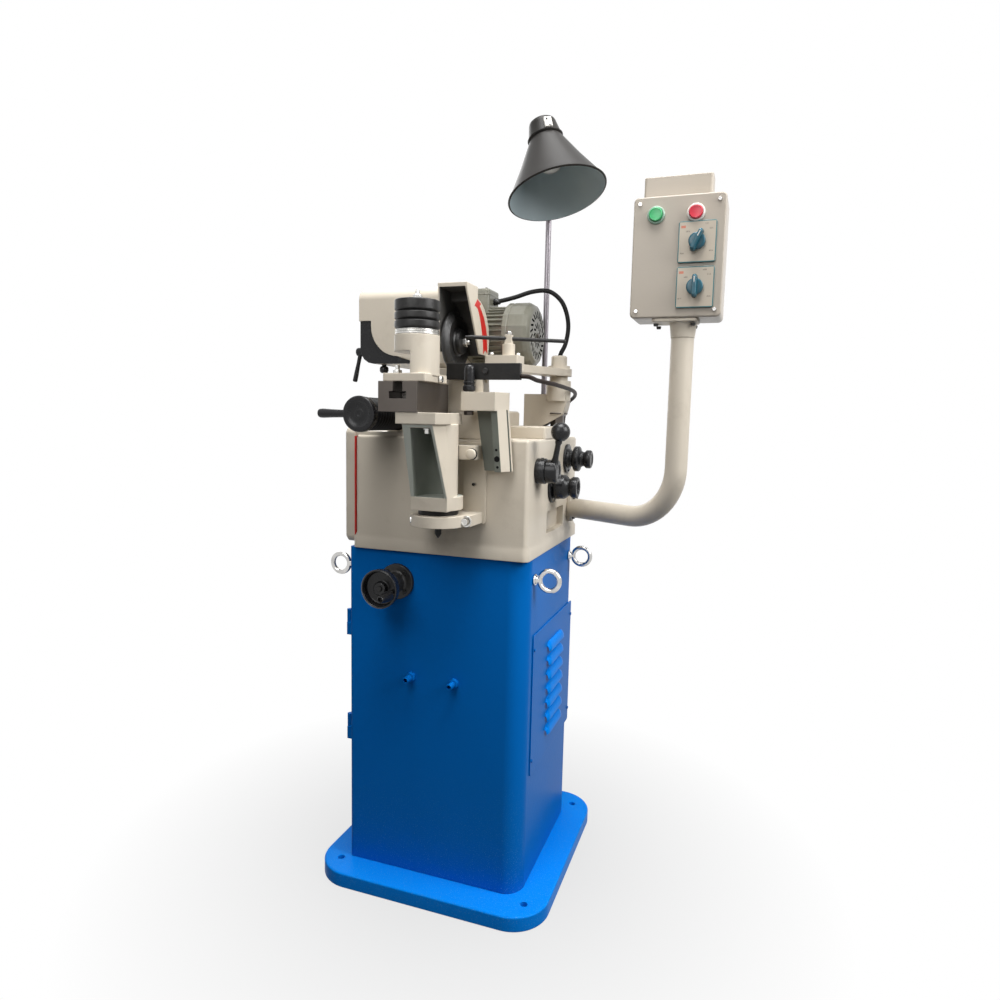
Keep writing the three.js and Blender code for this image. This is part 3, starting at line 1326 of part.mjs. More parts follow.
function makeHead() {
  const { left, right, front, back, bottom, top, cornerR, wall, frontEdge } = head;
  const outline = new THREE.Shape();
  outline.moveTo(right, bottom);
  outline.lineTo(right, top);
  outline.lineTo(left + 8, top);
  outline.absarc(left + 8, top - 8, 8, Math.PI / 2, Math.PI);
  outline.lineTo(left, bottom + cornerR);
  outline.absarc(left + cornerR, bottom + cornerR, cornerR, Math.PI, Math.PI * 1.5);
  outline.closePath();
  const shell = slab('y', outline, front, back, curve.bend);
  const topRound = cut(
    block(
      left - overrun, right + overrun, front - overrun, front + frontEdge, top - frontEdge, top + overrun,
    ),
    rod(
      'x', frontEdge, left - overrun * 2, right + overrun * 2, [front + frontEdge, top - frontEdge],
      sides.large,
    ),
  );
  const notch = slab('y', notchOutline(), front - overrun, front + head.notchDeep, curve.round);
  const lugFrom = saddle.earMid - saddle.earInner + running;
  const lugTo = saddle.earMid + saddle.earInner - running;
  const lug = rod('x', saddle.earR - 2, lugFrom, lugTo, [saddle.earY, saddle.earZ], sides.round);
  const lugWeb = block(
    lugFrom, lugTo, saddle.earY - saddle.earR + 4, saddle.earY + saddle.earR - 4, saddle.earZ,
    bottom + overrun,
  );
  const bore = rod(
    'x', saddle.pinR + seat, lugFrom - overrun, lugTo + overrun, [saddle.earY, saddle.earZ], sides.round,
  );
  const boss = rod('x', wheel.bossR, right - wall, wheel.x - seat, [wheel.y, wheel.z], sides.round);
  const spindleBore = rod(
    'x', wheel.shaftR + seat, right - head.spindleDeep, guard.left + overrun * 3, [wheel.y, wheel.z],
    sides.round,
  );
  const motorBore = rod(
    'x', motor.shaftR + running, right - head.spindleDeep, right + overrun, [motor.y, motor.z], sides.small,
  );
  const leverBore = rod(
    'x', clampLever.shaftR + seat, left - overrun, left + wall + overrun, [clampLever.y, clampLever.z],
    sides.small,
  );
  const knobBore = rod(
    'z', infeedKnob.neckR + seat, bottom - overrun, bottom + infeedKnob.inside + seat,
    [infeedKnob.x, infeedKnob.y], sides.small,
  );
  const castings = joined(cut(shell, topRound), lug, lugWeb, boss);
  addPart(
    'head_housing', cut(castings, notch, bore, spindleBore, motorBore, leverBore, knobBore), 'cream_paint',
  );
}

// The strip left open beside the front cover, round the head's lower left corner.
function notchOutline() {
  const { left, bottom, notchWide, notchFoot, notchTop, notchR } = head;
  const inner = left + notchWide;
  const foot = bottom + notchFoot;
  const outline = new THREE.Shape();
  outline.moveTo(left - overrun, notchTop);
  outline.lineTo(left - overrun, bottom - overrun);
  outline.lineTo(inner + notchR * 2, bottom - overrun);
  outline.lineTo(inner + notchR, foot);
  outline.absarc(inner + notchR, foot + notchR, notchR, Math.PI * 1.5, Math.PI, true);
  outline.lineTo(inner, notchTop);
  outline.closePath();
  return outline;
}

function makeGuard() {
  const { left, right, wall, frontTop, frontBottom, top, bottom, lid, leftBottom } = guard;
  const roundEnd = Math.PI * 0.46;
  const profile = (radius, frontLow, frontHigh, low, high) => {
    const outline = new THREE.Shape();
    outline.moveTo(frontLow, low);
    outline.lineTo(guard.arcY, low);
    outline.absarc(guard.arcY, guard.arcZ, radius, -Math.asin((guard.arcZ - low) / radius), roundEnd);
    outline.lineTo(guard.arcY + radius * Math.cos(roundEnd), high);
    outline.lineTo(frontHigh, high);
    outline.closePath();
    return outline;
  };
  const { arcR } = guard;
  const whole = slab('x', profile(arcR, leftBottom, frontTop, bottom, top), left, right, curve.round);
  const ahead = overrun * 3;
  const inside = profile(arcR - wall, leftBottom - ahead, frontTop - ahead, bottom - overrun, top - lid);
  const hollow = slab('x', inside, left + wall, right - wall, curve.round);
  const slant = polygon([
    [frontTop - overrun, top + overrun], [frontTop, top - lid], [frontBottom, bottom - overrun],
    [leftBottom - overrun * 4, bottom - overrun], [leftBottom - overrun * 4, top + overrun],
  ]);
  const bay = slab('x', slant, left + wall, right + overrun);
  const hole = rod(
    'x', wheel.bossR + running, left - overrun, left + wall + overrun, [wheel.y, wheel.z], sides.round,
  );
  addPart('wheel_guard', cut(whole, hollow, bay, hole), 'cream_paint');
}

function makeWheel() {
  const at = [wheel.y, wheel.z];
  const { x, radius, thick, dish, hubR, hub, nutR, nut, shaftR } = wheel;
  const face = x + thick;
  const disc = turned('x', [
    [0, x], [radius - dish, x], [radius, x + dish / 2], [radius, x + dish], [radius - dish, face],
    [hubR + dish, face - dish / 3], [hubR, face], [hubR, face + hub / 2], [hubR - 4, face + hub],
    [0, face + hub],
  ], at, sides.large);
  const hex = rod('x', nutR, face + hub - 1, face + hub + nut, at, 6);
  const end = rod('x', nutR / 2, face + hub, face + hub + nut * 1.5, at, sides.small);
  const shaft = rod('x', shaftR, head.right - head.spindleDeep + seat, x + 1, at, sides.round);
  addPart('grinding_wheel', joined(disc, hex, end, shaft), 'grinding_grit');
}

function makeGrindingMotor() {
  const at = [motor.y, motor.z];
  const start = guard.left + seat - (guard.left - head.right);
  const flange = rod('x', motor.flangeR, start, start + motor.flange, at, sides.large);
  const barrel = rod('x', motor.radius, start, motor.finTo, at, sides.large);
  const shaft = rod('x', motor.shaftR, start - motor.shaft, start + 1, at, sides.small);
  const fins = Array.from({ length: motor.fins }, (_, i) => {
    const turn = (i / motor.fins) * 360;
    const fin = block(
      start + motor.flange + 4, motor.finTo - 2, motor.y - motor.finThick / 2, motor.y + motor.finThick / 2,
      motor.z + motor.radius - 2, motor.z + motor.radius + motor.finOut,
    );
    return moved(fin, turnAbout([0, motor.y, motor.z], [1, 0, 0], turn));
  });
  const { left, right, front, back, bottom, top, cornerR, chamfer } = terminalBox;
  const wiring = stepped(
    'z', left, right, front, back, cornerR, [[bottom, 0], [top - chamfer, 0], [top, chamfer]], curve.corner,
  );
  addPart('grinding_motor', joined(barrel, flange, fins, shaft, wiring), 'motor_paint');
  const cowlFrom = motor.finTo + seat;
  const cowl = turned('x', [
    [0, cowlFrom], [motor.cowlR, cowlFrom], [motor.cowlR, motor.right - motor.cowlEdge],
    [motor.cowlR - motor.cowlEdge * 0.6, motor.right - motor.cowlEdge * 0.2],
    [motor.endR, motor.right], [0, motor.right],
  ], at, 16);
  const vents = [1, 0.55].flatMap((share, row) => Array.from({ length: motor.vents - row * 3 }, (_, i) => {
    const turn = ((i + row / 2) / (motor.vents - row * 3)) * Math.PI * 2;
    const centre = [
      motor.y + Math.cos(turn) * motor.ventRing * share, motor.z + Math.sin(turn) * motor.ventRing * share,
    ];
    return rod('x', motor.ventR, motor.right - motor.cowlEdge / 2, motor.right + overrun, centre, 6);
  }));
  addPart('motor_fan_cowl', cut(cowl, vents), 'motor_paint');
}

function makeHeadControls() {
  const at = [clampLever.y, clampLever.z];
  const outer = head.left - seat;
  const hub = rod('x', clampLever.hubR, outer - clampLever.hub, outer, at, sides.round);
  const shaft = rod('x', clampLever.shaftR, outer - 2, head.left + head.wall, at, sides.small);
  const stem = turned(
    'z',
    [
      [0, -clampLever.length], [clampLever.rodR * 0.8, -clampLever.length],
      [clampLever.rodR, 4 - clampLever.length], [clampLever.rodR * 0.8, 0], [0, 0],
    ],
    [0, 0], sides.small,
  );
  const hang = new THREE.Matrix4().makeTranslation(outer - clampLever.hub / 2, clampLever.y, clampLever.z);
  hang.multiply(new THREE.Matrix4().makeRotationY(THREE.MathUtils.degToRad(clampLever.lean)));
  addPart('head_clamp_lever', joined(hub, shaft, moved(stem, hang)), 'black_plastic');
  const top = head.bottom - seat;
  const foot = top - infeedKnob.length;
  const knob = turned('z', [
    [0, foot], [infeedKnob.radius - 2, foot], [infeedKnob.radius, foot + 3], [infeedKnob.radius, top - 5],
    [infeedKnob.neckR, top - 3], [infeedKnob.neckR, top + infeedKnob.inside], [0, top + infeedKnob.inside],
  ], [infeedKnob.x, infeedKnob.y], sides.small);
  addPart('infeed_knob', knob, 'black_plastic');
}

function makeFeedPost() {
  const at = [post.x, post.y];
  const base = stepped(
    'z', postBase.left, postBase.right, postBase.front, postBase.back, postBase.cornerR,
    [[bodyTopSeat, 0], [body.top + postBase.thick - 3, 0], [body.top + postBase.thick, 3]], curve.corner,
  );
  const boss = rod('z', post.bossR, post.bossBottom, post.bossTop, at, sides.round);
  const baseTop = body.top + postBase.thick;
  const { webLeft, webFoot, webSide, webSideLow, webSideHigh, webTop } = postBase;
  const web = slab('y', polygon([
    [webLeft, baseTop - overrun], [webFoot, baseTop - overrun], [webSide - overrun * 2, webSideLow],
    [webSide, webSideHigh], [webSide, webTop], [webLeft, webTop],
  ]), post.y - postBase.webThick / 2, post.y + postBase.webThick / 2);
  const stem = turned(
    'z',
    [
      [0, post.bossBottom + 4], [post.radius, post.bossBottom + 4], [post.radius, post.top - 3],
      [post.radius - 3, post.top], [post.bore, post.top], [post.bore, post.top - post.bore * 2],
      [0, post.top - post.bore * 2],
    ],
    at, sides.round,
  );
  const nut = joined(
    rod('z', postNut.radius, baseTop - overrun, baseTop + postNut.height, at, 6),
    rod('z', postNut.studR, baseTop, post.bossBottom + overrun, at, sides.small),
  );
  const neck = rod('z', post.neckR, post.bossTop - overrun, feedArm.bottom - seat, at, sides.round);
  addPart('feed_post', joined(base, boss, neck, web, stem, nut), 'cream_paint');
}

function makeFeedArm() {
  const at = [post.x, post.y];
  const { bottom, thick, blockLeft, blockRight, blockFront, blockBack, blockTop, cornerR } = feedArm;
  const top = bottom + thick;
  const collar = joined(
    rod('z', feedArm.collarR, bottom, top, at, sides.round),
    rod('z', feedArm.collarR - 4, bottom, feedArm.collarTop, at, sides.round),
  );
  const middle = [(blockLeft + blockRight) / 2, (blockFront + blockBack) / 2];
  const along = new THREE.Vector2(post.x - middle[0], post.y - middle[1]);
  const sideways = new THREE.Vector2(-along.y, along.x).normalize().multiplyScalar(feedArm.tailWide / 2);
  const plank = polygon([
    [middle[0] + sideways.x, middle[1] + sideways.y], [middle[0] - sideways.x, middle[1] - sideways.y],
    [post.x - sideways.x, post.y - sideways.y], [post.x + sideways.x, post.y + sideways.y],
  ]);
  const blade = slab('z', plank, bottom, top);
  const pad = slab(
    'z', roundedOutline(blockLeft, blockRight, blockFront, blockBack, cornerR), bottom, blockTop,
    curve.corner,
  );
  const boss = rod(
    'z', feedArm.bossR, blockTop - 1, feedArm.bossTop, [feedArm.bossX, feedArm.bossY], sides.small,
  );
  const half = pawl.screwWide / 2;
  const clampTop = pawl.z + pawl.screwR;
  const screwAt = [feedArm.bossX, feedArm.bossY];
  const clamp = block(
    screwAt[0] - half, screwAt[0] + half, screwAt[1] - half, screwAt[1] + half, feedArm.bossTop - overrun,
    clampTop,
  );
  const tapFoot = pawl.z + pawl.radius + seat;
  const tapped = rod('z', pawl.stemR + seat, tapFoot - seat, clampTop + overrun, screwAt, sides.small);
  const bore = rod('z', post.radius + seat, bottom - overrun, feedArm.collarTop + overrun, at, sides.round);
  const rodHole = moved(
    rod(
      'x', pawl.radius + seat, feedArm.bossX - pawl.screwWide, feedArm.bossX + pawl.screwWide,
      [feedArm.bossY, pawl.z], sides.small,
    ),
    pawlTurn(),
  );
  addPart('feed_arm', cut(joined(collar, blade, pad, boss, clamp), bore, rodHole, tapped), 'cream_paint');
  const screwHead = rod('z', pawl.headR, clampTop + seat, clampTop + seat + pawl.head, screwAt, 6);
  const screwStem = rod('z', pawl.stemR, tapFoot, clampTop + overrun, screwAt, sides.small);
  addPart('pawl_clamp_screw', screwHead.add(screwStem), 'bright_steel');
  const finger = turned('x', [
    [0, feedArm.bossX - pawl.ahead], [pawl.tip, feedArm.bossX - pawl.ahead],
    [pawl.radius, feedArm.bossX - pawl.ahead + pawl.flat],
    [pawl.radius, feedArm.bossX + pawl.behind], [0, feedArm.bossX + pawl.behind],
  ], [feedArm.bossY, pawl.z], 12);
  addPart('pawl_rod', moved(finger, pawlTurn()), 'black_steel');
}

function pawlTurn() {
  return turnAbout([feedArm.bossX, feedArm.bossY, pawl.z], [0, 0, 1], 90 - pawl.turn);
}

function makeGuide() {
  const front = guide.back - guide.deep;
  const rail = block(guide.left, guide.right, front, guide.back, guide.bottom, guide.top);
  const axis = [adjuster.x, front - adjuster.collarR - running];
  const nut = hanger.bottom - adjuster.head;
  const screw = joined(
    turned(
      'z',
      [
        [0, hanger.top + seat], [adjuster.radius, hanger.top + seat], [adjuster.collarR, hanger.top + 4],
        [adjuster.collarR, hanger.top + 12], [adjuster.radius, guide.bottom - 2],
        [adjuster.radius, adjuster.top - 4], [adjuster.radius - 3, adjuster.top], [0, adjuster.top],
      ],
      axis, sides.round,
    ),
    rod('z', adjuster.radius / 2, nut, hanger.top + 2, axis, sides.small),
    rod('z', adjuster.headR, nut - seat, hanger.bottom - seat, axis, 6),
  );
  const clear = rod(
    'z', adjuster.collarR + running, guide.bottom - overrun, guide.top + overrun, axis, sides.round,
  );
  addPart('guide_bar', cut(rail, clear), 'black_steel');
  addPart('adjusting_screw', screw, 'black_steel');

  const { left, right, back, bottom, top, foot } = hanger;
  const plan = polygon(
    [[left, hanger.front], [hanger.frontRight, hanger.front], [right, back], [left, back]]
  );
  const blockBody = slab('z', plan, bottom, top);
  const join = bottom + overrun;
  const wall = slab('y', polygon([
    [hanger.legLeftFoot, foot], [hanger.legRightFoot, foot], [right, join], [hanger.legLeftTop, join],
  ]), back - hanger.backWall, back);
  const slope = (right - hanger.frontRight) / (back - hanger.front);
  const level = (z, rightSide) => {
    const front = hanger.front + hanger.sideWall / 2;
    const ahead = rightSide - (back - front) * slope;
    const points = [
      [ahead - hanger.sideWall, front], [ahead, front], [rightSide, back],
      [rightSide - hanger.sideWall, back],
    ];
    return points.map(([x, y]) => new THREE.Vector3(x, y, z));
  };
  const cheek = loft([level(foot, hanger.legRightFoot), level(join, right)]);
  const holes = [
    [0, hanger.holeR], [-hanger.dowelGap, hanger.dowelR], [hanger.dowelGap, hanger.dowelR],
  ].map(([dz, radius]) => (
    rod(
      'y', radius, back - hanger.backWall - overrun, back + overrun, [hanger.holeX, hanger.holeZ + dz], 10,
    )
  ));
  const bore = rod('z', adjuster.radius / 2 + seat, bottom - overrun, top + overrun, axis, sides.small);
  const rest = block(
    guide.restLeft, guide.restRight, guide.back - guide.deep + seat, back, top - overrun,
    guide.bottom - seat,
  );
  addPart('hanger_bracket', cut(joined(blockBody, wall, cheek, rest), holes, bore), 'cream_paint');
}

// The lamp's shade hangs from a joint on the rod and leans forward and to the left.
function shadeTilt() {
  const matrix = new THREE.Matrix4().makeTranslation(shade.x, shade.y, shade.rimZ);
  matrix.multiply(new THREE.Matrix4().makeRotationY(THREE.MathUtils.degToRad(-shade.lean)));
  return matrix.multiply(new THREE.Matrix4().makeRotationX(THREE.MathUtils.degToRad(-shade.pitch)));
}

function makeLamp() {
  const at = [lamp.x, lamp.y];
  const base = turned(
    'z',
    [
      [0, bodyTopSeat], [lamp.baseR, bodyTopSeat], [lamp.baseR, bodyTopSeat + lamp.base / 2],
      [lamp.rodR + 2, bodyTopSeat + lamp.base], [0, bodyTopSeat + lamp.base],
    ],
    at, sides.round,
  );
  const stem = rod('z', lamp.rodR, bodyTopSeat, lamp.rodTop, at, sides.small);
  const knuckle = ball(lamp.knuckleR, [lamp.x, lamp.y, lamp.rodTop], sides.round);
  addPart('lamp_rod', joined(base, stem, knuckle), 'bright_steel');

  const { rimR, neckR, topR, bead, cone, neck, cap, wall } = shade;
  const crown = cone + neck + cap;
  const shell = turned('z', [
    [rimR - wall, 0], [rimR, 0], [rimR + bead / 2, bead / 2], [rimR - bead / 2, bead], [neckR, cone],
    [neckR + bead, cone + bead],
    [topR + 3, cone + neck], [topR, crown], [0, crown], [0, crown - wall], [topR - wall, crown - wall],
    [topR + 1, cone + neck], [neckR - wall, cone], [rimR - wall * 2, bead], [rimR - wall, 0],
  ], [0, 0], sides.large);
  const socket = rod('z', shade.socketR, crown - shade.socket, crown - wall / 2, [0, 0], sides.small);
  const tilt = shadeTilt();
  const whole = moved(shell.add(socket), tilt);
  const hold = new THREE.Vector3(0, neckR * 0.6, cone + neck * 0.62).applyMatrix4(tilt);
  const link = alongLine(
    [
      [hold.x, hold.y, hold.z], [(hold.x + lamp.x) / 2, (hold.y + lamp.y) / 2, (hold.z + lamp.rodTop) / 2],
      [lamp.x, lamp.y, lamp.rodTop + lamp.knuckleR * 0.4],
    ],
    lamp.linkR, 6, 8,
  );
  const cup = ball(lamp.knuckleR + running, [lamp.x, lamp.y, lamp.rodTop], sides.round);
  addPart('lamp_shade', cut(joined(whole, link), cup), 'shade_paint');
  const bulbTop = crown - shade.socket - seat;
  const bulb = turned('z', [
    [0, bulbTop - shade.bulb], [shade.bulbR * 0.6, bulbTop - shade.bulb * 0.93],
    [shade.bulbR, bulbTop - shade.bulb * 0.6], [shade.bulbR * 0.75, bulbTop - shade.bulb * 0.3],
    [shade.socketR * 0.8, bulbTop], [0, bulbTop],
  ], [0, 0], sides.round);
  addPart('lamp_bulb', moved(bulb, tilt), 'white_plate');
}

// Leads held at both ends, along their real routes.
const motorLeadRoute = [
  [38.2, 22, 1192], [58, 22, 1195], [84, 24, 1201], [118, 28, 1211], [150, 34, 1212], [174, 40, 1195],
  [186, 46, 1170], [190, 50, 1140], [185, 51, 1108], [176, 50, 1088], [173, 50, 1076],
];
const guideLeadRoute = [
  [168.6, -190, 1027], [173, -190, 1027], [182.4, -183, 1026.2], [187.4, -158, 1022.4],
  [190.4, -145, 1021.4], [199, -115, 1019.4], [205, -80, 1017.5],
  [207.9, -30, 1014.8], [208.7, 20, 1012.3], [204, 70, 1008.1], [192.3, 110, 1001], [172.9, 135, 988],
  [164, 142, 965], [161, 143, 940], [160, 143, 914.6],
];

function makeLeads() {
  addPart('motor_lead', alongLine(motorLeadRoute, cordR, 26), 'rubber');
  addPart('guide_lead', alongLine(guideLeadRoute, cordR - 0.5, 26), 'rubber');
}

const parts = [
  makeBasePlate, makeColumn, makeShelf, makeLouvrePanel, makeDoor, makeEyeBolts, makeSpindleWheel,
  makeDriveMotor, makeCamShaft, makeBody, makeLever, makeRightKnobs, makeControlArm, makeControlBox,
  makeBladeHolder, makeCrank, makeSaddle, makeHead, makeGuard, makeWheel, makeGrindingMotor,
  makeHeadControls, makeFeedPost, makeFeedArm, makeGuide, makeLamp, makeLeads,
];
for (const make of parts) make();

export default machine;
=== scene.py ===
"""Looks for an automatic saw blade sharpening machine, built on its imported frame.

Pieces are drawn in millimetres and put into the frame in metres.
+Z is up, -Y is the operator's side and +X the control box's.
"""
import math

import bmesh
import bpy
from mathutils import Matrix, Vector


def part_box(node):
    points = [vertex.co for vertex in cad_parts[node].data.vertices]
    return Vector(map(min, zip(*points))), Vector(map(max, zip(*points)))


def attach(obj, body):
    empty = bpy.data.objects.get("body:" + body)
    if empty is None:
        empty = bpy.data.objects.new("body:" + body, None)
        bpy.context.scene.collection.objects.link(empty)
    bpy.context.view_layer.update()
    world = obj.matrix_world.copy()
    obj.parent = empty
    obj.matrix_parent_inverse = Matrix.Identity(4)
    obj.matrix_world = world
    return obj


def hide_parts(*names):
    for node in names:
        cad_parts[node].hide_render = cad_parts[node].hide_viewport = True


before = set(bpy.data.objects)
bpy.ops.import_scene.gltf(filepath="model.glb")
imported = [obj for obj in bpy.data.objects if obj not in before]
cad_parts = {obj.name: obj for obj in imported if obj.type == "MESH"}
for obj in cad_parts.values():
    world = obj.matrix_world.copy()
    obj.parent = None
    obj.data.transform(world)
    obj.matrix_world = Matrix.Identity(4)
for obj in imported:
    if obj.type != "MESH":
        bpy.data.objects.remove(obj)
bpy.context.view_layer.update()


# The camera stands in front and to the right, at the height of the blade holder, looking slightly down.
# Its lens, turn and place were worked out from the machine's straight edges.
view = {"place": (0.5630, -1.4043, 0.9559), "left": 19.45, "down": 6.69, "roll": 1.264}
view_lens = {"sensor_width": 36.0, "lens": 25.632}


def put_up(name, data):
    """An object for some data, in the scene."""
    made = bpy.data.objects.new(name, data)
    bpy.context.scene.collection.objects.link(made)
    return made


def turn(degrees, axis):
    return Matrix.Rotation(math.radians(degrees), 4, axis)


def make_camera():
    lens = bpy.data.cameras.new("camera")
    for key, value in view_lens.items():
        setattr(lens, key, value)
    camera = put_up("camera", lens)
    aim = turn(view["left"], "Z") @ turn(90 - view["down"], "X") @ turn(view["roll"], "Z")
    camera.matrix_world = Matrix.Translation(view["place"]) @ aim
    bpy.context.scene.camera = camera
    bpy.context.scene.view_settings.view_transform = "Standard"


make_camera()


# The studio: a wide pale floor that turns to plain white behind the machine, with large soft lamps round it.
# The strongest hangs overhead, one stands at the right, a smaller one in front and a wide one behind.
class Value:
    """A node's output in one tree; Python's operators on it add Math nodes."""

    def __init__(self, tree, socket):
        self.tree = tree
        self.socket = socket

    def __add__(self, other):
        return self.tree.math("ADD", self, other)

    __radd__ = __add__

    def __sub__(self, other):
        return self.tree.math("SUBTRACT", self, other)

    def __rsub__(self, other):
        return self.tree.math("SUBTRACT", other, self)

    def __mul__(self, other):
        return self.tree.math("MULTIPLY", self, other)

    __rmul__ = __mul__

    def __gt__(self, other):
        return self.tree.math("GREATER_THAN", self, other)

    def __lt__(self, other):
        return self.tree.math("LESS_THAN", self, other)


class Tree:
    """A node tree that one method fills: a node's type, its settings, then its sockets."""

    def __init__(self, nodes):
        self.nodes = nodes

    def feed(self, socket, value):
        if isinstance(value, Value):
            self.nodes.links.new(value.socket, socket)
        else:
            socket.default_value = value

    def node(self, kind, settings=None, sockets=None, out=0):
        made = self.nodes.nodes.new(kind)
        for key, value in (settings or {}).items():
            if key == "stops":
                while len(made.color_ramp.elements) < len(value):
                    made.color_ramp.elements.new(1.0)
                for stop, (place, shade) in zip(made.color_ramp.elements, value):
                    stop.position = place
                    stop.color = (shade, shade, shade, 1)
            else:
                setattr(made, key, value)
        for key, value in (sockets or {}).items():
            self.feed(made.inputs[key], value)
        return Value(self, made.outputs[out])

    def math(self, operation, first, second=0.0):
        return self.node("ShaderNodeMath", {"operation": operation}, {0: first, 1: second})

    def either(self, first, second):
        return self.math("MAXIMUM", first, second)

    def both(self, first, second):
        return self.math("MINIMUM", first, second)

    def near(self, value, middle, reach):
        return self.both(value > middle - reach, value < middle + reach)

    def split(self, vector):
        parts = self.node("ShaderNodeSeparateXYZ", None, {0: vector})
        return [Value(self, output) for output in parts.socket.node.outputs]

    def seen_by(self, *kinds):
        """1 for the named kinds of ray and 0 for the others."""
        rays = self.node("ShaderNodeLightPath").socket.node.outputs
        seen = Value(self, rays[f"Is {kinds[0]} Ray"])
        for kind in kinds[1:]:
            seen = self.either(seen, Value(self, rays[f"Is {kind} Ray"]))
        return seen


class Finish(Tree):
    """A procedural material on its piece's own coordinates, in metres."""

    def __init__(self, name, **constants):
        self.material = bpy.data.materials.new(name)
        self.material.use_nodes = True
        super().__init__(self.material.node_tree)
        self.shader = self.nodes.nodes["Principled BSDF"]
        for key, value in constants.items():
            socket = key.replace("_", " ").title().replace("Ior", "IOR")
            self.shader.inputs[socket].default_value = value
        self.place = self.node("ShaderNodeTexCoord", out=3)

    def noise(self, scale, detail=2.0, roughness=0.5, place=None):
        sockets = {"Vector": place or self.place, "Scale": scale, "Detail": detail, "Roughness": roughness}
        return self.node("ShaderNodeTexNoise", {"noise_dimensions": "3D"}, sockets)

    def streaks(self, scale, detail, roughness=0.6):
        """Noise drawn out along the axes with the smaller scales."""
        drawn = self.node("ShaderNodeMapping", None, {"Vector": self.place, "Scale": scale})
        return self.noise(1.0, detail, roughness, drawn)

    def ramp(self, value, low, high):
        """0 up to a low value, 1 from a high one."""
        return self.node("ShaderNodeValToRGB", {"stops": [(low, 0.0), (high, 1.0)]}, {"Fac": value})

    def remap(self, value, low, high, to_low=0.0, to_high=1.0):
        sockets = {"Value": value, "From Min": low, "From Max": high, "To Min": to_low, "To Max": to_high}
        return self.node("ShaderNodeMapRange", None, sockets)

    def blend(self, factor, first, second):
        mixed = self.node("ShaderNodeMix", {"data_type": "RGBA"}, {0: factor}, out=2)
        for index, colour in ((6, first), (7, second)):
            self.feed(mixed.socket.node.inputs[index], colour if isinstance(colour, Value) else (*colour, 1))
        return mixed

    def surface(self, **channels):
        for key, value in channels.items():
            self.feed(self.shader.inputs[key.replace("_", " ").title()], value)

    def mottle(self, spots, dark, light, roughness, rise=0.0, wear=None):
        """Two shades over the spots, and a roughness that rises with the wear, or with the same spots."""
        if rise:
            roughness = roughness + (wear or spots) * rise
        self.surface(base_color=self.blend(spots, dark, light), roughness=roughness)
        return self

    def relief(self, height, distance, edge=0.0):
        """Fine relief from a height of 0 to 1, over edges eased by a radius, in metres."""
        sockets = {"Height": height, "Distance": distance}
        if edge:
            sockets["Normal"] = self.node("ShaderNodeBevel", {"samples": 6}, {"Radius": edge})
        self.surface(normal=self.node("ShaderNodeBump", None, sockets))
        return self


studio = {"around": 0.035, "floor": 9, "below": 0.0004, "aim": (0, 0, 1.0)}
floor_fade = {"low": 0.25, "high": 0.80, "to_low": 0.76, "to_high": 1.0}
lamps = {
    "side_lamp": {"place": (2.0, -0.3, 2.0), "size": 1.3, "power": 46},
    "top_lamp": {"place": (0.3, -0.4, 3.1), "size": 1.5, "power": 88},
    "front_lamp": {"place": (-0.1, -1.3, 1.7), "size": 0.8, "power": 7.4},
    "back_lamp": {"place": (-1.9, 2.0, 2.0), "size": 2.0, "power": 22},
}


def make_surroundings():
    """White to the camera and in reflections, nearly dark as a light."""
    world = bpy.data.worlds.new("studio")
    world.use_nodes = True
    bpy.context.scene.world = world
    tree = Tree(world.node_tree)
    back = world.node_tree.nodes["Background"]
    back.inputs["Color"].default_value = (1, 1, 1, 1)
    seen = tree.seen_by("Camera", "Transmission", "Glossy")
    tree.feed(back.inputs["Strength"], studio["around"] + seen * (1 - studio["around"]))


def make_floor():
    """A round floor that fades to white away from the machine, for the camera and in reflections."""
    mesh = bmesh.new()
    bmesh.ops.create_circle(mesh, cap_ends=True, segments=96, radius=studio["floor"])
    bmesh.ops.translate(mesh, verts=mesh.verts, vec=(0, 0, -studio["below"]))
    shape = bpy.data.meshes.new("floor")
    mesh.to_mesh(shape)
    mesh.free()
    floor = put_up("floor", shape)
    pale = Finish("studio_floor", specular_ior_level=0.2)
    pale.mottle(pale.noise(2.0), (0.12, 0.12, 0.12), (0.14, 0.14, 0.14), 0.8)
    away = pale.node("ShaderNodeVectorMath", {"operation": "LENGTH"}, {0: pale.place}, out=1)
    fade = pale.remap(away, **floor_fade)
    white = pale.node("ShaderNodeEmission", None, {"Color": (1, 1, 1, 1), "Strength": 1.0})
    lit = Value(pale, pale.shader.outputs[0])
    seen = pale.seen_by("Camera", "Glossy")
    mixed = pale.node("ShaderNodeMixShader", None, {0: seen * fade, 1: lit, 2: white})
    pale.feed(pale.nodes.nodes["Material Output"].inputs["Surface"], mixed)
    shape.materials.append(pale.material)


def hang_lamps():
    for name, lamp in lamps.items():
        light = bpy.data.lights.new(name, "AREA")
        light.size = lamp["size"]
        light.energy = lamp["power"]
        made = put_up(name, light)
        made.location = lamp["place"]
        way = Vector(studio["aim"]) - Vector(lamp["place"])
        made.rotation_euler = way.to_track_quat("-Z", "Y").to_euler()


make_surroundings()
make_floor()
hang_lamps()


# The pedestal: folded steel sheet, welded up and sprayed with glossy blue enamel, on a heavy base plate.
# The enamel has a faint orange peel, and dust gathers on it near the floor.
mm = 0.001
metre = 1000


def shift(*place):
    """A move, given in millimetres."""
    return Matrix.Translation(Vector(place) * mm)


def around(count):
    """Angles that share a full turn evenly."""
    return [2 * math.pi * i / count for i in range(count)]


def in_space(axis, along, u, v):
    """A point at a place along one axis; its places on the other two are in the order x, y, z."""
    return {"x": (along, u, v), "y": (u, along, v), "z": (u, v, along)}[axis]


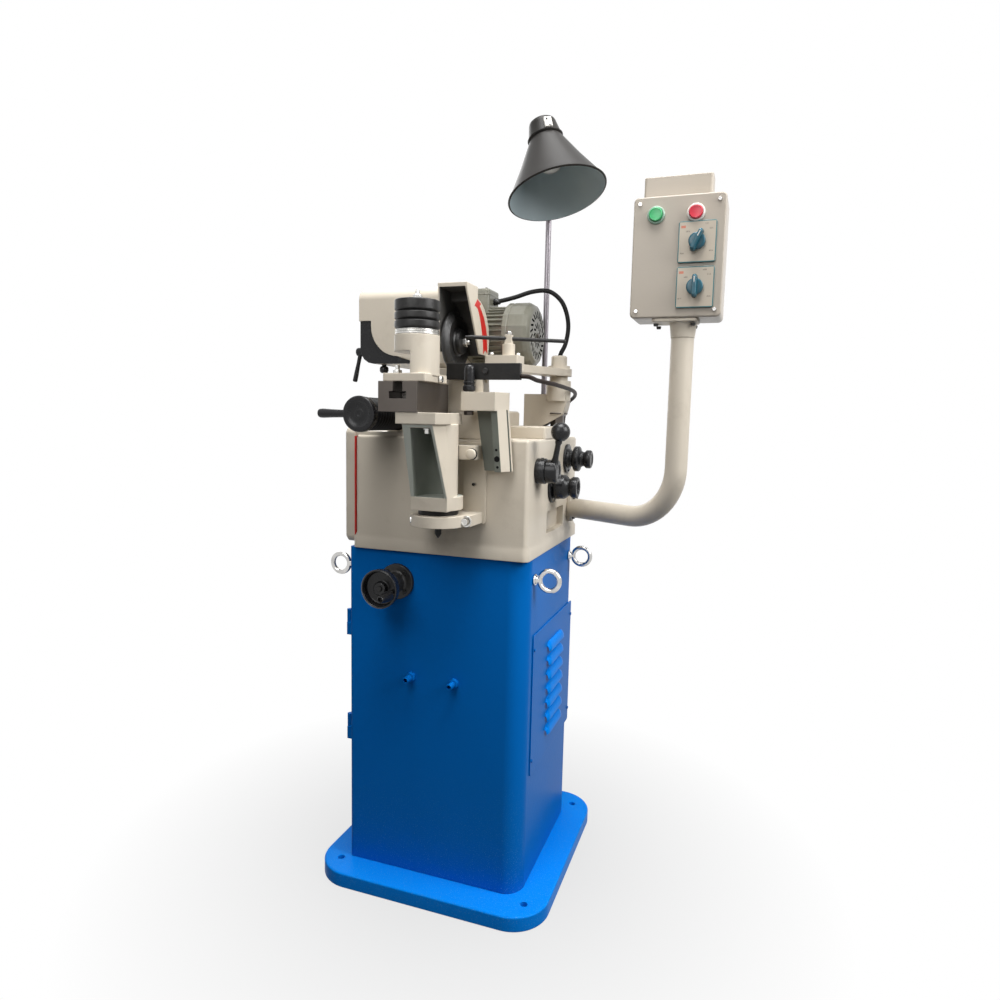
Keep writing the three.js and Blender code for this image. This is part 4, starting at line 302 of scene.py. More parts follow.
def result_of(thing, keep_all=False):
    """What an object's modifiers make of it, as a plain mesh."""
    bpy.context.view_layer.update()
    graph = bpy.context.evaluated_depsgraph_get()
    options = {"preserve_all_data_layers": True, "depsgraph": graph} if keep_all else {}
    return bpy.data.meshes.new_from_object(thing.evaluated_get(graph), **options)


def put_away(thing):
    """Takes an object and its mesh out of the scene."""
    shape = thing.data
    bpy.data.objects.remove(thing)
    bpy.data.meshes.remove(shape)


class Piece:
    """A piece on the bench: closed shells are added in millimetres, then it is dressed and put on a body."""

    most_finishes = 6

    def __init__(self, name):
        self.name = name
        self.mesh = bmesh.new()

    def shell(self, rings, closed=False, finish=0, matrix=None):
        """A skin over rings of equally many points; a ring of one point is a pole."""
        made = [[self.mesh.verts.new(Vector(point) * mm) for point in ring] for ring in rings]
        count = max(len(ring) for ring in made)
        faces = []
        for one, two in zip(made, made[1:] + made[:1] if closed else made[1:]):
            for i in range(count):
                j = (i + 1) % count
                corners = (one[i % len(one)], one[j % len(one)], two[j % len(two)], two[i % len(two)])
                corners = list(dict.fromkeys(corners))
                if len(corners) > 2:
                    faces.append(self.mesh.faces.new(corners))
        if not closed:
            faces += [self.mesh.faces.new(ring) for ring in (made[0], made[-1]) if len(ring) > 2]
        bmesh.ops.recalc_face_normals(self.mesh, faces=faces)
        for face in faces:
            face.material_index = finish
        if matrix is not None:
            points = [vertex for ring in made for vertex in ring]
            bmesh.ops.transform(self.mesh, matrix=matrix, verts=points)
        return self

    def turned(self, axis, profile, centre=(0, 0), steps=64, finish=0, matrix=None, start=0, way=1):
        """A turned shell: points of (radius, distance from the start); hollow where it ends as it began."""
        hollow = profile[0] == profile[-1]
        rings = []
        for radius, distance in profile[:-1] if hollow else profile:
            ring = []
            for i in range(steps if radius else 1):
                angle = 2 * math.pi * (i + 0.5) / steps
                u = centre[0] + radius * math.cos(angle)
                v = centre[1] + radius * math.sin(angle)
                ring.append(in_space(axis, start + way * distance, u, v))
            rings.append(ring)
        return self.shell(rings, hollow, finish, matrix)

    def rod(self, axis, radius, start, end, centre=(0, 0), steps=48, ease=0.6, finish=0, matrix=None):
        """A rod with eased ends; six steps make it a hexagon."""
        ease = min(ease, abs(end - start) / 3, radius / 3) * (1 if end > start else -1)
        inner = radius - abs(ease)
        near = [(0, start), (inner, start), (radius, start + ease)]
        far = [(radius, end - ease), (inner, end), (0, end)]
        return self.turned(axis, near + far, centre, steps, finish, matrix)

    def ball(self, radius, centre, steps=48):
        half = steps // 2
        arc = [math.pi * i / half for i in range(half + 1)]
        profile = [(radius * math.sin(a), centre[2] - radius * math.cos(a)) for a in arc]
        profile[0], profile[-1] = (0, profile[0][1]), (0, profile[-1][1])
        return self.turned("z", profile, centre[:2], steps)

    def slab(self, axis, outline, start, end, ease=0.8, finish=0, matrix=None, soft=1):
        """An outline seen along x (y, z), y (x, z) or z (x, y), made into a slab with eased edges."""
        arc = [math.pi / 2 * i / soft for i in range(soft + 1)]
        near = [(ease * (1 - math.cos(a)), ease * (1 - math.sin(a))) for a in arc]
        levels = [(start + along, inset) for along, inset in near]
        levels += [(end - along, inset) for along, inset in reversed(near)]
        rings = []
        for level, inset in levels:
            rings.append([in_space(axis, level, u, v) for u, v in drawn_in(outline, inset)])
        return self.shell(rings, finish=finish, matrix=matrix)

    def block(self, left, right, front, back, bottom, top, corner=0.8, ease=0.8, finish=0, matrix=None):
        """A block standing on its foot, with eased corners and edges."""
        outline = rounded(left, right, front, back, corner, 2)
        return self.slab("z", outline, bottom, top, ease, finish, matrix)

    def tube(self, points, radius, steps=16, finish=0):
        """A round tube through points."""
        points = [Vector(point) for point in points]
        rings = []
        side = None
        for i, point in enumerate(points):
            along = (points[min(i + 1, len(points) - 1)] - points[max(i - 1, 0)]).normalized()
            side = along.orthogonal() if side is None else side - along * side.dot(along)
            side.normalize()
            other = along.cross(side)
            ring = [side * math.cos(a) + other * math.sin(a) for a in around(steps)]
            rings.append([point + out * radius for out in ring])
        return self.shell(rings, finish=finish)

    def cad(self, node):
        """A merged copy of a CAD node's own shape."""
        mesh = self.mesh
        mesh.from_mesh(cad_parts[node].data)
        bmesh.ops.remove_doubles(mesh, verts=mesh.verts, dist=2e-6)
        flat = math.radians(0.6)
        bmesh.ops.dissolve_limit(mesh, angle_limit=flat, verts=mesh.verts, edges=mesh.edges)
        for face in mesh.faces:
            face.material_index = 0
        return self

    def plain(self):
        """Ends the bench copy and returns its mesh as plain data."""
        shape = bpy.data.meshes.new(self.name)
        self.mesh.to_mesh(shape)
        self.mesh.free()
        return shape

    def add(self, shape, finish=None):
        """Adds plain data, with one finish number for all its faces where one is given."""
        count = len(self.mesh.faces)
        self.mesh.from_mesh(shape)
        bpy.data.meshes.remove(shape)
        if finish is not None:
            self.mesh.faces.ensure_lookup_table()
            for face in self.mesh.faces[count:]:
                face.material_index = finish
        return self

    def as_blank(self):
        """Ends the bench copy and puts it up as an object, with a blank for each finish it may have."""
        shape = self.plain()
        for _ in range(self.most_finishes):
            shape.materials.append(None)
        return put_up(self.name, shape)

    def through(self, kind, settings):
        """Runs one modifier over the mesh as it stands."""
        blank = self.as_blank()
        modifier = blank.modifiers.new("step", kind)
        for key, value in settings.items():
            setattr(modifier, key, value)
        self.mesh = bmesh.new()
        self.add(result_of(blank))
        put_away(blank)
        return self

    def carved(self, cutter):
        """The mesh less the cutter's shells; faces of the cut keep the cutter's finish number."""
        tool = cutter.as_blank()
        settings = {"operation": "DIFFERENCE", "solver": "EXACT", "object": tool, "use_self": True}
        self.through("BOOLEAN", settings)
        put_away(tool)
        return self

    def eased(self, width, segments=2, angle=50):
        """Rounds every edge that turns by more than an angle."""
        return self.through("BEVEL", {
            "width": width * mm, "segments": segments, "limit_method": "ANGLE",
            "angle_limit": math.radians(angle), "miter_outer": "MITER_ARC", "use_clamp_overlap": True,
        })

    def repaint(self, finish, test, facing=None):
        """Another finish where a face's middle, in millimetres, passes a test and it looks the given way."""
        alike = 0.97
        for face in self.mesh.faces:
            looks_there = facing is None or face.normal.dot(facing) > alike
            if looks_there and test(face.calc_center_median() * metre):
                face.material_index = finish
        return self

    def done(self, body, slot, *finishes, stands_for=(), crease=50):
        """Ends the piece: smooth where it is round, in its finishes, on its body."""
        for face in self.mesh.faces:
            face.smooth = True
        for edge in self.mesh.edges:
            edge.smooth = len(edge.link_faces) == 2 and edge.calc_face_angle(4) < math.radians(crease)
        shape = bpy.data.meshes.new(self.name)
        for finish in finishes:
            shape.materials.append(finish.material)
        self.mesh.to_mesh(shape)
        self.mesh.free()
        made = put_up(self.name, shape)
        even = made.modifiers.new("even", "WEIGHTED_NORMAL")
        even.keep_sharp = True
        result = result_of(made, keep_all=True)
        made.modifiers.clear()
        made.data = result
        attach(made, body)
        if stands_for:
            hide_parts(*stands_for)
        return made


def rounded(left, right, low, high, radius, steps=8, left_radius=None):
    """A rectangle's outline with round corners; the left ones may differ."""
    other = radius if left_radius is None else left_radius
    middles = [
        (right - radius, high - radius, radius, 0), (left + other, high - other, other, 1),
        (left + other, low + other, other, 2), (right - radius, low + radius, radius, 3),
    ]
    points = []
    for u, v, size, quarter in middles:
        for i in range(steps + 1):
            angle = math.pi / 2 * (quarter + i / steps)
            points.append((u + size * math.cos(angle), v + size * math.sin(angle)))
    return points


def drawn_in(outline, inset):
    """The outline moved inwards by an inset, corner by corner."""
    if not inset:
        return outline
    area = sum(a[0] * b[1] - b[0] * a[1] for a, b in zip(outline, outline[1:] + outline[:1]))
    sign = 1 if area > 0 else -1
    moved = []
    for before, point, after in zip(outline[-1:] + outline[:-1], outline, outline[1:] + outline[:1]):
        one = Vector((point[0] - before[0], point[1] - before[1])).normalized()
        two = Vector((after[0] - point[0], after[1] - point[1])).normalized()
        lean = Vector((-one.y - two.y, one.x + two.x)) * sign
        share = inset * 2 / max(lean.length_squared, 0.5)
        moved.append((point[0] + lean.x * share, point[1] + lean.y * share))
    return moved


def smooth_line(route, per_span=8):
    """Points on a Catmull-Rom line through the route."""
    knots = [Vector(point) for point in route]
    ends = [knots[0] * 2 - knots[1], *knots, knots[-1] * 2 - knots[-2]]
    points = []
    for a, b, c, d in zip(ends, ends[1:], ends[2:], ends[3:]):
        for i in range(per_span):
            t = i / per_span
            bend = (2 * a - 5 * b + 4 * c - d) * t ** 2 + (3 * b - a - 3 * c + d) * t ** 3
            points.append(0.5 * (2 * b + (c - a) * t + bend))
    return [*points, knots[-1]]


def dress(node, body, slot, *finishes, ease=1.2, segments=2):
    """A CAD node in its finish, with its edges rounded."""
    piece = Piece(node + "_skin").cad(node).eased(ease, segments)
    return piece.done(body, slot, *finishes, stands_for=[node])


def span(node):
    """A CAD node's corners in millimetres."""
    low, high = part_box(node)
    return low * metre, high * metre


def blue_paint(name, light, lighter):
    """The pedestal's enamel, dusty near the floor; the plate's copy is a little lighter, as painted light
    from above, and the cabinet's darker, as painted shade.
    """
    enamel = Finish(name, specular_ior_level=0.02)
    clouds = enamel.noise(3.5, 3.0)
    low = enamel.remap(enamel.split(enamel.place)[2], 0.30, 0.03)
    specks = enamel.ramp(enamel.noise(480, 3.0, 0.7), 0.57, 0.66)
    paint = enamel.blend(low * specks * 0.34, enamel.blend(clouds, light, lighter), (0.16, 0.40, 0.70))
    enamel.surface(base_color=paint, roughness=0.24 + clouds * 0.12 + specks * low * 0.2)
    enamel.relief(enamel.noise(170, 2.0), 0.0002, edge=0.0012)
    return enamel


# Painted light and shade: one enamel in two copies, the cabinet's darker and the plate's lighter.
blue_enamel = blue_paint("blue_enamel", (0.001, 0.136, 0.50), (0.002, 0.158, 0.56))
plate_enamel = blue_paint("plate_enamel", (0.001, 0.205, 0.74), (0.002, 0.235, 0.82))
plate = {"half_x": 244, "half_y": 241, "thick": 31, "corner": 75, "ease": 3.5}
anchor = {"in_x": 43, "in_y": 49, "radius": 7, "flare": 3, "flare_deep": 2.5}


def make_base_plate():
    half_x, half_y = plate["half_x"], plate["half_y"]
    outline = rounded(-half_x, half_x, -half_y, half_y, plate["corner"], 18)
    piece = Piece("base_plate_skin").slab("z", outline, 0, plate["thick"], plate["ease"], soft=4)
    hole, top = anchor["radius"], plate["thick"] + 1
    flare = [(hole, top - anchor["flare_deep"]), (hole + anchor["flare"], top)]
    holes = Piece("anchor_holes")
    for side in (-1, 1):
        for end in (-1, 1):
            centre = (side * (half_x - anchor["in_x"]), end * (half_y - anchor["in_y"]))
            holes.turned("z", [(0, -1), (hole, -1), *flare, (0, top)], centre, 32)
    piece.carved(holes).done("stand", "blue_paint", plate_enamel, stands_for=["base_plate"])


make_base_plate()

column = {"half_x": 186, "half_y": 181, "corner": 38, "door_corner": 8, "wall": 3, "roof": 5}
column_height = {"foot": 31.3, "top": 692}
opening = {"lap": 14, "door_half": 148, "deep": 8, "corner": 6, "beyond": 5}
belt_hole = {"left": -114, "right": -70, "front": -103, "back": 69}
hinge = {"lows": (286, 508), "tall": 26, "at": (-193.3, -169), "barrel": 5, "pin": 2.4}
hinge_leaf = {"left": -195, "right": -183.5, "front": -177, "back": -169}
spigot = {"places": (-47, 45), "height": 442, "reach": 26, "nut": 10, "bore": 4.2, "neck": 4.9, "barb": 6.2}

# Painted shade: a near-black finish for the bottoms of holes and sockets that are too fine to model right
# through.
black_pit = Finish("black_pit", specular_ior_level=0.1)
black_pit.mottle(black_pit.noise(50), (0.004, 0.004, 0.004), (0.010, 0.010, 0.010), 0.9)


def hollow_column():
    """What is cut out of the cabinet: its inside, the door's and the vent's openings, and the belt's."""
    half_x, beyond = column["half_x"], opening["beyond"]
    roof = column_height["top"] - column["roof"]
    within_walls, under = cabinet_outline(column["wall"]), column_height["foot"] - beyond
    hollow = Piece("hollow").slab("z", within_walls, under, roof, 0)
    lap, deep, corner = opening["lap"], opening["deep"], opening["corner"]
    low, high = span("side_door")
    half = opening["door_half"]
    hollow.block(-half_x - beyond, -half_x + deep, -half, half, low.z + lap, high.z - lap, corner)
    low, high = span("louvre_panel")
    side = (half_x - deep, half_x + beyond)
    hollow.block(*side, low.y + lap, high.y - lap, low.z + lap, high.z - lap, corner)
    return hollow.block(*belt_hole.values(), roof - beyond, column_height["top"] + beyond)


def cabinet_outline(inset):
    half_x, half_y = column["half_x"] - inset, column["half_y"] - inset
    corner, door_corner = column["corner"] - inset, column["door_corner"] - inset
    return rounded(-half_x, half_x, -half_y, half_y, corner, 14, door_corner)


def add_hinges(piece):
    """The cabinet's half of each lift-off hinge: a barrel, its welded leaf and its pin."""
    for low in hinge["lows"]:
        high = low + hinge["tall"]
        piece.rod("z", hinge["barrel"], low, high, hinge["at"], 24)
        piece.block(*hinge_leaf.values(), low, high, 0.4, 0.4)
        piece.rod("z", hinge["pin"], high - 2, high + 22, hinge["at"], 16)


def add_spigot(piece, centre):
    """A hexagon at the sheet and a hose tail with four barbs."""
    face, reach, barbs = -column["half_y"], spigot["reach"], 4
    bore, neck, barb = spigot["bore"], spigot["neck"], spigot["barb"]
    piece.rod("y", spigot["nut"], face - 7, face + 1, centre, 6, 1.2)
    tail = [(bore, face - reach), (barb - 1, face - reach)]
    for i in range(barbs):
        tail += [(barb, face - 23.5 + i * 4.2), (neck, face - 22.3 + i * 4.2)]
    tail += [(neck, face - 6), (bore, face - 6)]
    piece.turned("y", [*tail, tail[0]], centre, 32)


def make_column():
    """The folded cabinet, open behind its door and its louvred cover."""
    piece = Piece("cabinet_skin").slab("z", cabinet_outline(0), *column_height.values(), 0.5)
    piece.carved(hollow_column())
    add_hinges(piece)
    # Each spigot's bore is closed a little way in by a disc in painted shade.
    bores = Piece("spigot_bores")
    deep = -column["half_y"] - 16
    for x in spigot["places"]:
        centre = (x, spigot["height"])
        add_spigot(piece, centre)
        bores.rod("y", spigot["bore"] - 0.1, deep, deep + 1, centre, 24)
    piece.done("stand", "blue_paint", blue_enamel, stands_for=["pedestal_column"])
    bores.done("stand", "blue_paint", black_pit)


make_column()
dress("motor_shelf", "stand", "blue_paint", blue_enamel, ease=0.8)
dress("side_door", "side_door", "blue_paint", blue_enamel, ease=0.8)


# The louvred vent cover on the pedestal's right side: thin steel in the same enamel, held by small screws.
# Its seven louvres are pressed outwards, each a round-ended hood that is open along its lower edge.
class Layout(Tree):
    """A Geometry Nodes tree with named inputs; it ends in real mesh of one material."""

    def __init__(self, name, **inputs):
        group = bpy.data.node_groups.new(name, "GeometryNodeTree")
        super().__init__(group)
        group.interface.new_socket("Geometry", in_out="OUTPUT", socket_type="NodeSocketGeometry")
        for key, kind in {"points": "Geometry", **inputs, "material": "Material"}.items():
            group.interface.new_socket(key, in_out="INPUT", socket_type="NodeSocket" + kind)
        self.entry = group.nodes.new("NodeGroupInput").outputs

    def given(self, key):
        return Value(self, self.entry[key])

    def end(self, points, shape, rotation):
        """Sets the shape on every point, as real mesh in the given material."""
        sockets = {"Points": points, "Instance": shape, "Rotation": rotation}
        instances = self.node("GeometryNodeInstanceOnPoints", None, sockets)
        real = self.node("GeometryNodeRealizeInstances", None, {0: instances})
        sockets = {"Geometry": real, "Material": self.given("material")}
        painted = self.node("GeometryNodeSetMaterial", None, sockets)
        self.feed(self.nodes.nodes.new("NodeGroupOutput").inputs[0], painted)
        return self

    def run(self, points, **settings):
        """Runs the tree over a mesh of points, and returns what it made as a plain mesh."""
        holder = put_up("layout", points)
        modifier = holder.modifiers.new("layout", "NODES")
        modifier.node_group = self.nodes
        for item in self.nodes.interface.items_tree:
            if item.in_out == "INPUT" and item.name in settings:
                modifier[item.identifier] = settings[item.name]
        made = result_of(holder)
        put_away(holder)
        return made


def row_tree():
    """Sets a shape out along a step, each one turned further than the last."""
    tree = Layout("row_of_shapes", shape="Object", count="Int", start="Vector", step="Vector", turn="Vector")
    line = tree.node("GeometryNodeMeshLine", {"mode": "OFFSET"}, {
        "Count": tree.given("count"), "Start Location": tree.given("start"), "Offset": tree.given("step"),
    })
    shape = tree.node("GeometryNodeObjectInfo", None, {"Object": tree.given("shape")}, out="Geometry")
    sockets = {"Vector": tree.given("turn"), "Scale": tree.node("GeometryNodeInputIndex")}
    return tree.end(line, shape, tree.node("ShaderNodeVectorMath", {"operation": "SCALE"}, sockets))


def screw_tree():
    """Sets a screw head on every point, along the point's own facing, its socket cut by a Boolean."""
    tree = Layout("screw_heads", radius="Float", height="Float", socket="Float", sides="Int")
    radius, height = tree.given("radius"), tree.given("height")
    head = tree.node("GeometryNodeMeshCone", None, {
        "Vertices": 28, "Radius Top": radius * 0.84, "Radius Bottom": radius, "Depth": height,
    })
    tool = tree.node("GeometryNodeMeshCylinder", None, {
        "Vertices": tree.given("sides"), "Radius": tree.given("socket"), "Depth": height,
    })
    lift = tree.node("ShaderNodeCombineXYZ", None, {"Z": height * 1.45})
    tool = tree.node("GeometryNodeTransform", None, {"Geometry": tool, "Translation": lift})
    shape = tree.node(
        "GeometryNodeMeshBoolean", {"operation": "DIFFERENCE"}, {"Mesh 1": head, "Mesh 2": tool},
    )
    facing = tree.node("GeometryNodeInputNamedAttribute", {"data_type": "FLOAT_VECTOR"}, {"Name": "facing"})
    way = tree.node("FunctionNodeAlignRotationToVector", {"axis": "Z"}, {"Vector": facing})
    return tree.end(tree.given("points"), shape, way)


rows = row_tree()
heads = screw_tree()


def in_row(piece, painted, shape, count, start=(0, 0, 0), step=(0, 0, 0), twist=0.0, finish=0):
    """Adds a row of a shape's copies, in millimetres; each is twisted further about x, by some degrees."""
    holder = put_up("shape", shape.plain())
    made = rows.run(
        bpy.data.meshes.new("none"), shape=holder, count=count, start=[v * mm for v in start],
        step=[v * mm for v in step], turn=[math.radians(twist), 0.0, 0.0], material=painted.material,
    )
    put_away(holder)
    return piece.add(made, finish)


def with_screws(piece, painted, places, radius, height, socket, sides=6, finish=0):
    """Adds screw heads to a piece; each place is a point on a face, in millimetres, and where it faces."""
    points = bpy.data.meshes.new("points")
    middles = [(Vector(at) + Vector(facing) * height / 2) * mm for at, facing in places]
    points.from_pydata(middles, [], [])
    facings = points.attributes.new("facing", "FLOAT_VECTOR", "POINT")
    for i, (_, facing) in enumerate(places):
        facings.data[i].vector = facing
    made = heads.run(
        points, radius=radius * mm, height=height * mm, socket=socket * mm, sides=sides,
        material=painted.material,
    )
    return piece.add(made, finish)


panel = {"sheet": 2, "corner": 5, "screws_in": 7, "screws_down": 30}
hood = {"count": 7, "first": 300, "pitch": 30, "front": -38, "back": 84, "radius": 11.5, "wall": 1.4}
hood_share = {"reach": 1.6, "out": 0.85, "tall": 1.5}
vent = {"inside": 8, "above": 0.2, "top": 7, "beyond": 3}


def hood_skin(face, radius):
    """A hood's outer or inner skin: quarter rings along y, closing to a point at both ends."""
    rings = []
    front, length = hood["front"], hood["back"] - hood["front"]
    arc = [math.pi / 2 * k / 10 for k in range(11)]
    steps = 32
    for i in range(steps + 1):
        along = i / steps
        near = min(along, 1 - along) * length / (hood["radius"] * hood_share["reach"])
        size = radius * math.sqrt(max(0.0, 1 - (1 - min(near, 1)) ** 2))
        out, tall = hood_share["out"] * size, size * hood_share["tall"]
        depth = front + along * length
        rings.append([(face - 0.6 + out * math.cos(a), depth, tall * math.sin(a)) for a in arc])
    return rings


def make_louvre_panel():
    low, high = span("louvre_panel")
    face = low.x + panel["sheet"]
    outline = rounded(low.y, high.y, low.z, high.z, panel["corner"], 5)
    piece = Piece("vent_cover").slab("x", outline, low.x, face, 0.5, soft=2)
    slots = Piece("slots")
    front, back = hood["front"] + vent["inside"], hood["back"] - vent["inside"]
    inner, outer = low.x - vent["beyond"], face + vent["beyond"]
    for i in range(hood["count"]):
        z = hood["first"] + i * hood["pitch"]
        slots.block(inner, outer, front, back, z + vent["above"], z + vent["top"], 0.3)
    piece.carved(slots)
    outer = hood_skin(face, hood["radius"])
    inner = hood_skin(face, hood["radius"] - hood["wall"])
    shape = Piece("hood").shell([one + list(reversed(two)) for one, two in zip(outer[1:-1], inner[1:-1])])
    first, step = (0, 0, hood["first"]), (0, 0, hood["pitch"])
    # The hoods take the plate's lighter copy of the enamel: painted light.
    in_row(piece, plate_enamel, shape, hood["count"], first, step, finish=1)
    across, down = panel["screws_in"], panel["screws_down"]
    corners = [(y, z) for y in (low.y + across, high.y - across) for z in (low.z + down, high.z - down)]
    with_screws(piece, blue_enamel, [((face, y, z), (1, 0, 0)) for y, z in corners], 3.6, 1.6, 1.6)
    piece.done("stand", "blue_paint", blue_enamel, plate_enamel, stands_for=["louvre_panel"])


make_louvre_panel()


# The lifting eyes: zinc-plated forged rings, screwed through the pedestal's sides with a collar outside.
# The plating is grey with brighter rubbed places.
zinc = Finish("zinc_plate", metallic=1.0)
zinc.mottle(zinc.noise(55, 4.0), (0.34, 0.33, 0.32), (0.80, 0.79, 0.77), 0.10, 0.14)
zinc.relief(zinc.noise(420, 3.0), 0.0002, edge=0.0006)
eye = {"ring": 19, "wire": 5, "shank": 6, "collar": 11, "z": 650, "inside": 18, "off_sheet": 0.3}


def eye_ring(middle, y):
    """Rings of the wire, round the eye."""
    rings = []
    for a in around(64):
        outs = [(eye["ring"] + eye["wire"] * math.cos(b), eye["wire"] * math.sin(b)) for b in around(24)]
        cosine, sine = math.cos(a), math.sin(a)
        rings.append([(middle + out * cosine, y + side, eye["z"] + out * sine) for out, side in outs])
    return rings


def make_eye_bolt(node, way):
    low, high = span(node)
    y = (low.y + high.y) / 2
    tip = high.x if way > 0 else low.x
    middle = tip - way * (eye["ring"] + eye["wire"])
    face = way * (column["half_x"] + eye["off_sheet"])
    piece = Piece(node + "_skin").shell(eye_ring(middle, y), closed=True)
    neck, collar = eye["shank"], eye["collar"]
    reach = abs(middle - face) - eye["ring"] + 1
    piece.turned("x", [
        (0, 0), (collar - 1, 0), (collar, 1), (collar, 3.2), (collar - 1.2, 4.4),
        (neck + 2, 5.2), (neck, 7), (neck * 0.9, reach), (0, reach),
    ], (y, eye["z"]), 40, start=face, way=way)
    piece.rod("x", neck, face - way * eye["inside"], face + way * 0.5, (y, eye["z"]), 32)
    piece.done("stand", "bright_steel", zinc, stands_for=[node])


for end in ("front", "rear"):
    make_eye_bolt(f"eye_bolt_{end}_right", 1)
    make_eye_bolt(f"eye_bolt_{end}_left", -1)


# The handwheel on the pedestal's front: black phenolic moulding, a deep cup with a free-turning hollow grip.
# Its spindle runs in a black flanged bearing that is screwed to the sheet.
moulding = Finish("black_moulding", specular_ior_level=0.3)
moulding.mottle(moulding.noise(90, 3.0), (0.006, 0.006, 0.007), (0.013, 0.013, 0.014), 0.16, 0.2)
moulding.relief(moulding.noise(260, 2.0), 0.00025, edge=0.0008)
oxide = Finish("black_oxide", metallic=0.35, specular_ior_level=0.3)
oxide.mottle(oxide.noise(140, 4.0), (0.012, 0.012, 0.012), (0.035, 0.034, 0.033), 0.26, 0.22)
oxide.relief(oxide.noise(500, 2.0), 0.00015, edge=0.0006)
spindle = {"at": (-77, 632), "face": -181.3, "flange": 35, "hub": 19, "bore": 8.4, "reach": 56, "radius": 8}
cup = {"radius": 37, "depth": 22, "rim": 5, "web": 7, "hub": 13}
grip = {"at": (-52, 624), "radius": 10, "tip": 6.5, "length": 38, "bore": 4, "pin": 3, "play": 0.3}


def make_spindle_bearing():
    hub, flange, bore, reach = spindle["hub"], spindle["flange"], spindle["bore"], spindle["reach"]
    face, (x, z) = spindle["face"], spindle["at"]
    piece = Piece("spindle_bearing").turned("y", [
        (bore, 0), (flange - 1, 0), (flange, 1.2), (flange, 7.6), (flange - 1.6, 9), (hub + 5, 9.4),
        (hub + 1.5, 11), (hub, 14), (hub, 30), (hub - 2.5, 31), (hub - 2.5, 34), (hub, 35),
        (hub * 0.92, reach - 1), (hub * 0.86, reach), (bore, reach), (bore, 0),
    ], spindle["at"], 72, start=face, way=-1)
    out = flange - 8
    corners = [math.radians(45 + i * 90) for i in range(4)]
    places = [((x + out * math.cos(a), face - 9.2, z + out * math.sin(a)), (0, -1, 0)) for a in corners]
    with_screws(piece, oxide, places, 4, 3, 2.2)
    piece.done("stand", "black_steel", oxide, stands_for=["handwheel_bearing"])


def make_handwheel():
    face, (x, z) = spindle["face"], spindle["at"]
    depth, radius, rim, web, hub = (cup[key] for key in ("depth", "radius", "rim", "web", "hub"))
    back = face - spindle["reach"] - 0.5
    front = back - depth
    piece = Piece("handwheel_cup").turned("y", [
        (0, 4.5), (hub - 4, 4), (hub - 2, 3.2), (hub, 5), (hub, depth - web - 1.5), (hub + 2, depth - web),
        (radius - rim - 3, depth - web), (radius - rim, depth - web - 3), (radius - rim + 0.6, 2),
        (radius - rim + 2, 0.4), (radius - 2, 0), (radius, 1.6), (radius, 5), (radius - 0.8, 6),
        (radius - 0.8, depth - 7), (radius - 3, depth - 3), (radius - 9, depth), (0, depth),
    ], spindle["at"], 96, start=front)
    piece.rod("y", spindle["radius"], back - 1, face + 49, spindle["at"], 40)
    piece.rod("y", spindle["radius"], front - 0.1, back - web + 1, grip["at"], 40)
    piece.rod("y", grip["pin"], front - grip["length"] + 7, front, grip["at"], 24)
    with_screws(piece, oxide, [((x, front + 3.6, z), (0, -1, 0))], 5, 1.4, 2.6, finish=1)
    piece.done("pedestal_handwheel", "black_plastic", moulding, oxide, stands_for=["pedestal_handwheel"])

    length, bore, tip, size = (grip[key] for key in ("length", "bore", "tip", "radius"))
    Piece("handwheel_handle").turned("y", [
        (0, 6), (bore, 6), (bore, 1.2), (bore + 0.8, 0), (tip - 1, 0), (tip, 1.2), (size * 0.82, 12),
        (size * 0.97, 22), (size, 28), (size * 0.95, length - 4), (size * 0.8, length), (0, length),
    ], grip["at"], 56, start=front - grip["play"] - length).done(
        "handwheel_grip", "black_plastic", moulding, stands_for=["handwheel_grip"],
    )


make_spindle_bearing()
make_handwheel()
dress("door_latch", "door_latch", "black_plastic", moulding, ease=1.0)


# The drive inside the pedestal: a squirrel-cage motor on the shelf, a ground steel pulley and a rubber belt.
# The same steel makes the shaft with its cams in the body.
ground = Finish("ground_steel", metallic=0.85, specular_ior_level=0.3)
lines = ground.streaks((60, 900, 60), 4.0)
ground.mottle(ground.noise(14, 3.0), (0.070, 0.060, 0.053), (0.125, 0.110, 0.098), 0.30, 0.2, lines)
ground.relief(lines, 0.00012, edge=0.0006)
motor_grey = Finish("motor_enamel", specular_ior_level=0.35)
sprayed = motor_grey.noise(120, 3.0)
motor_grey.mottle(sprayed, (0.175, 0.172, 0.138), (0.220, 0.215, 0.175), 0.16, 0.12)
motor_grey.relief(sprayed, 0.0001, edge=0.001)
cord_rubber = Finish("cord_rubber", specular_ior_level=0.2)
cord_rubber.mottle(cord_rubber.noise(120, 2.0), (0.008, 0.008, 0.008), (0.018, 0.018, 0.018), 0.4, 0.2)
dress("drive_motor", "stand", "motor_paint", motor_grey, ease=0.25)
dress("drive_motor_pulley", "drive_motor_pulley", "machined_steel", ground, ease=0.6)
dress("cam_shaft", "cam_shaft", "machined_steel", ground, ease=0.6)
dress("drive_belt", "stand", "rubber", cord_rubber, ease=1.0)


# The cream castings: body, left cover, saddle, head, bracket and swing arm, in sprayed textured enamel.
# The enamel is slightly lumpy over the casting, and grime darkens it in patches.
# A red line is painted down the front beside the left cover.
cream = Finish("cream_enamel", specular_ior_level=0.25)
lumps = cream.noise(38, 4.0, 0.6)
grime = cream.ramp(cream.noise(19, 5.0, 0.65), 0.56, 0.80)
tone = cream.blend(cream.noise(6, 3.0), (0.575, 0.515, 0.425), (0.645, 0.585, 0.490))
cream.surface(base_color=cream.blend(grime * 0.35, tone, (0.40, 0.34, 0.27)), roughness=0.30 + lumps * 0.18)
cream.relief(lumps * 0.7 + cream.noise(300, 2.0) * 0.3, 0.00035, edge=0.0020)
red_paint = Finish("red_stripe", specular_ior_level=0.4)
red_paint.mottle(red_paint.noise(60), (0.50, 0.012, 0.010), (0.62, 0.022, 0.016), 0.35)
stripe = {"x": -172.6, "wide": 2.0, "low": 716, "high": 912, "behind": 4.6, "deep": 12}


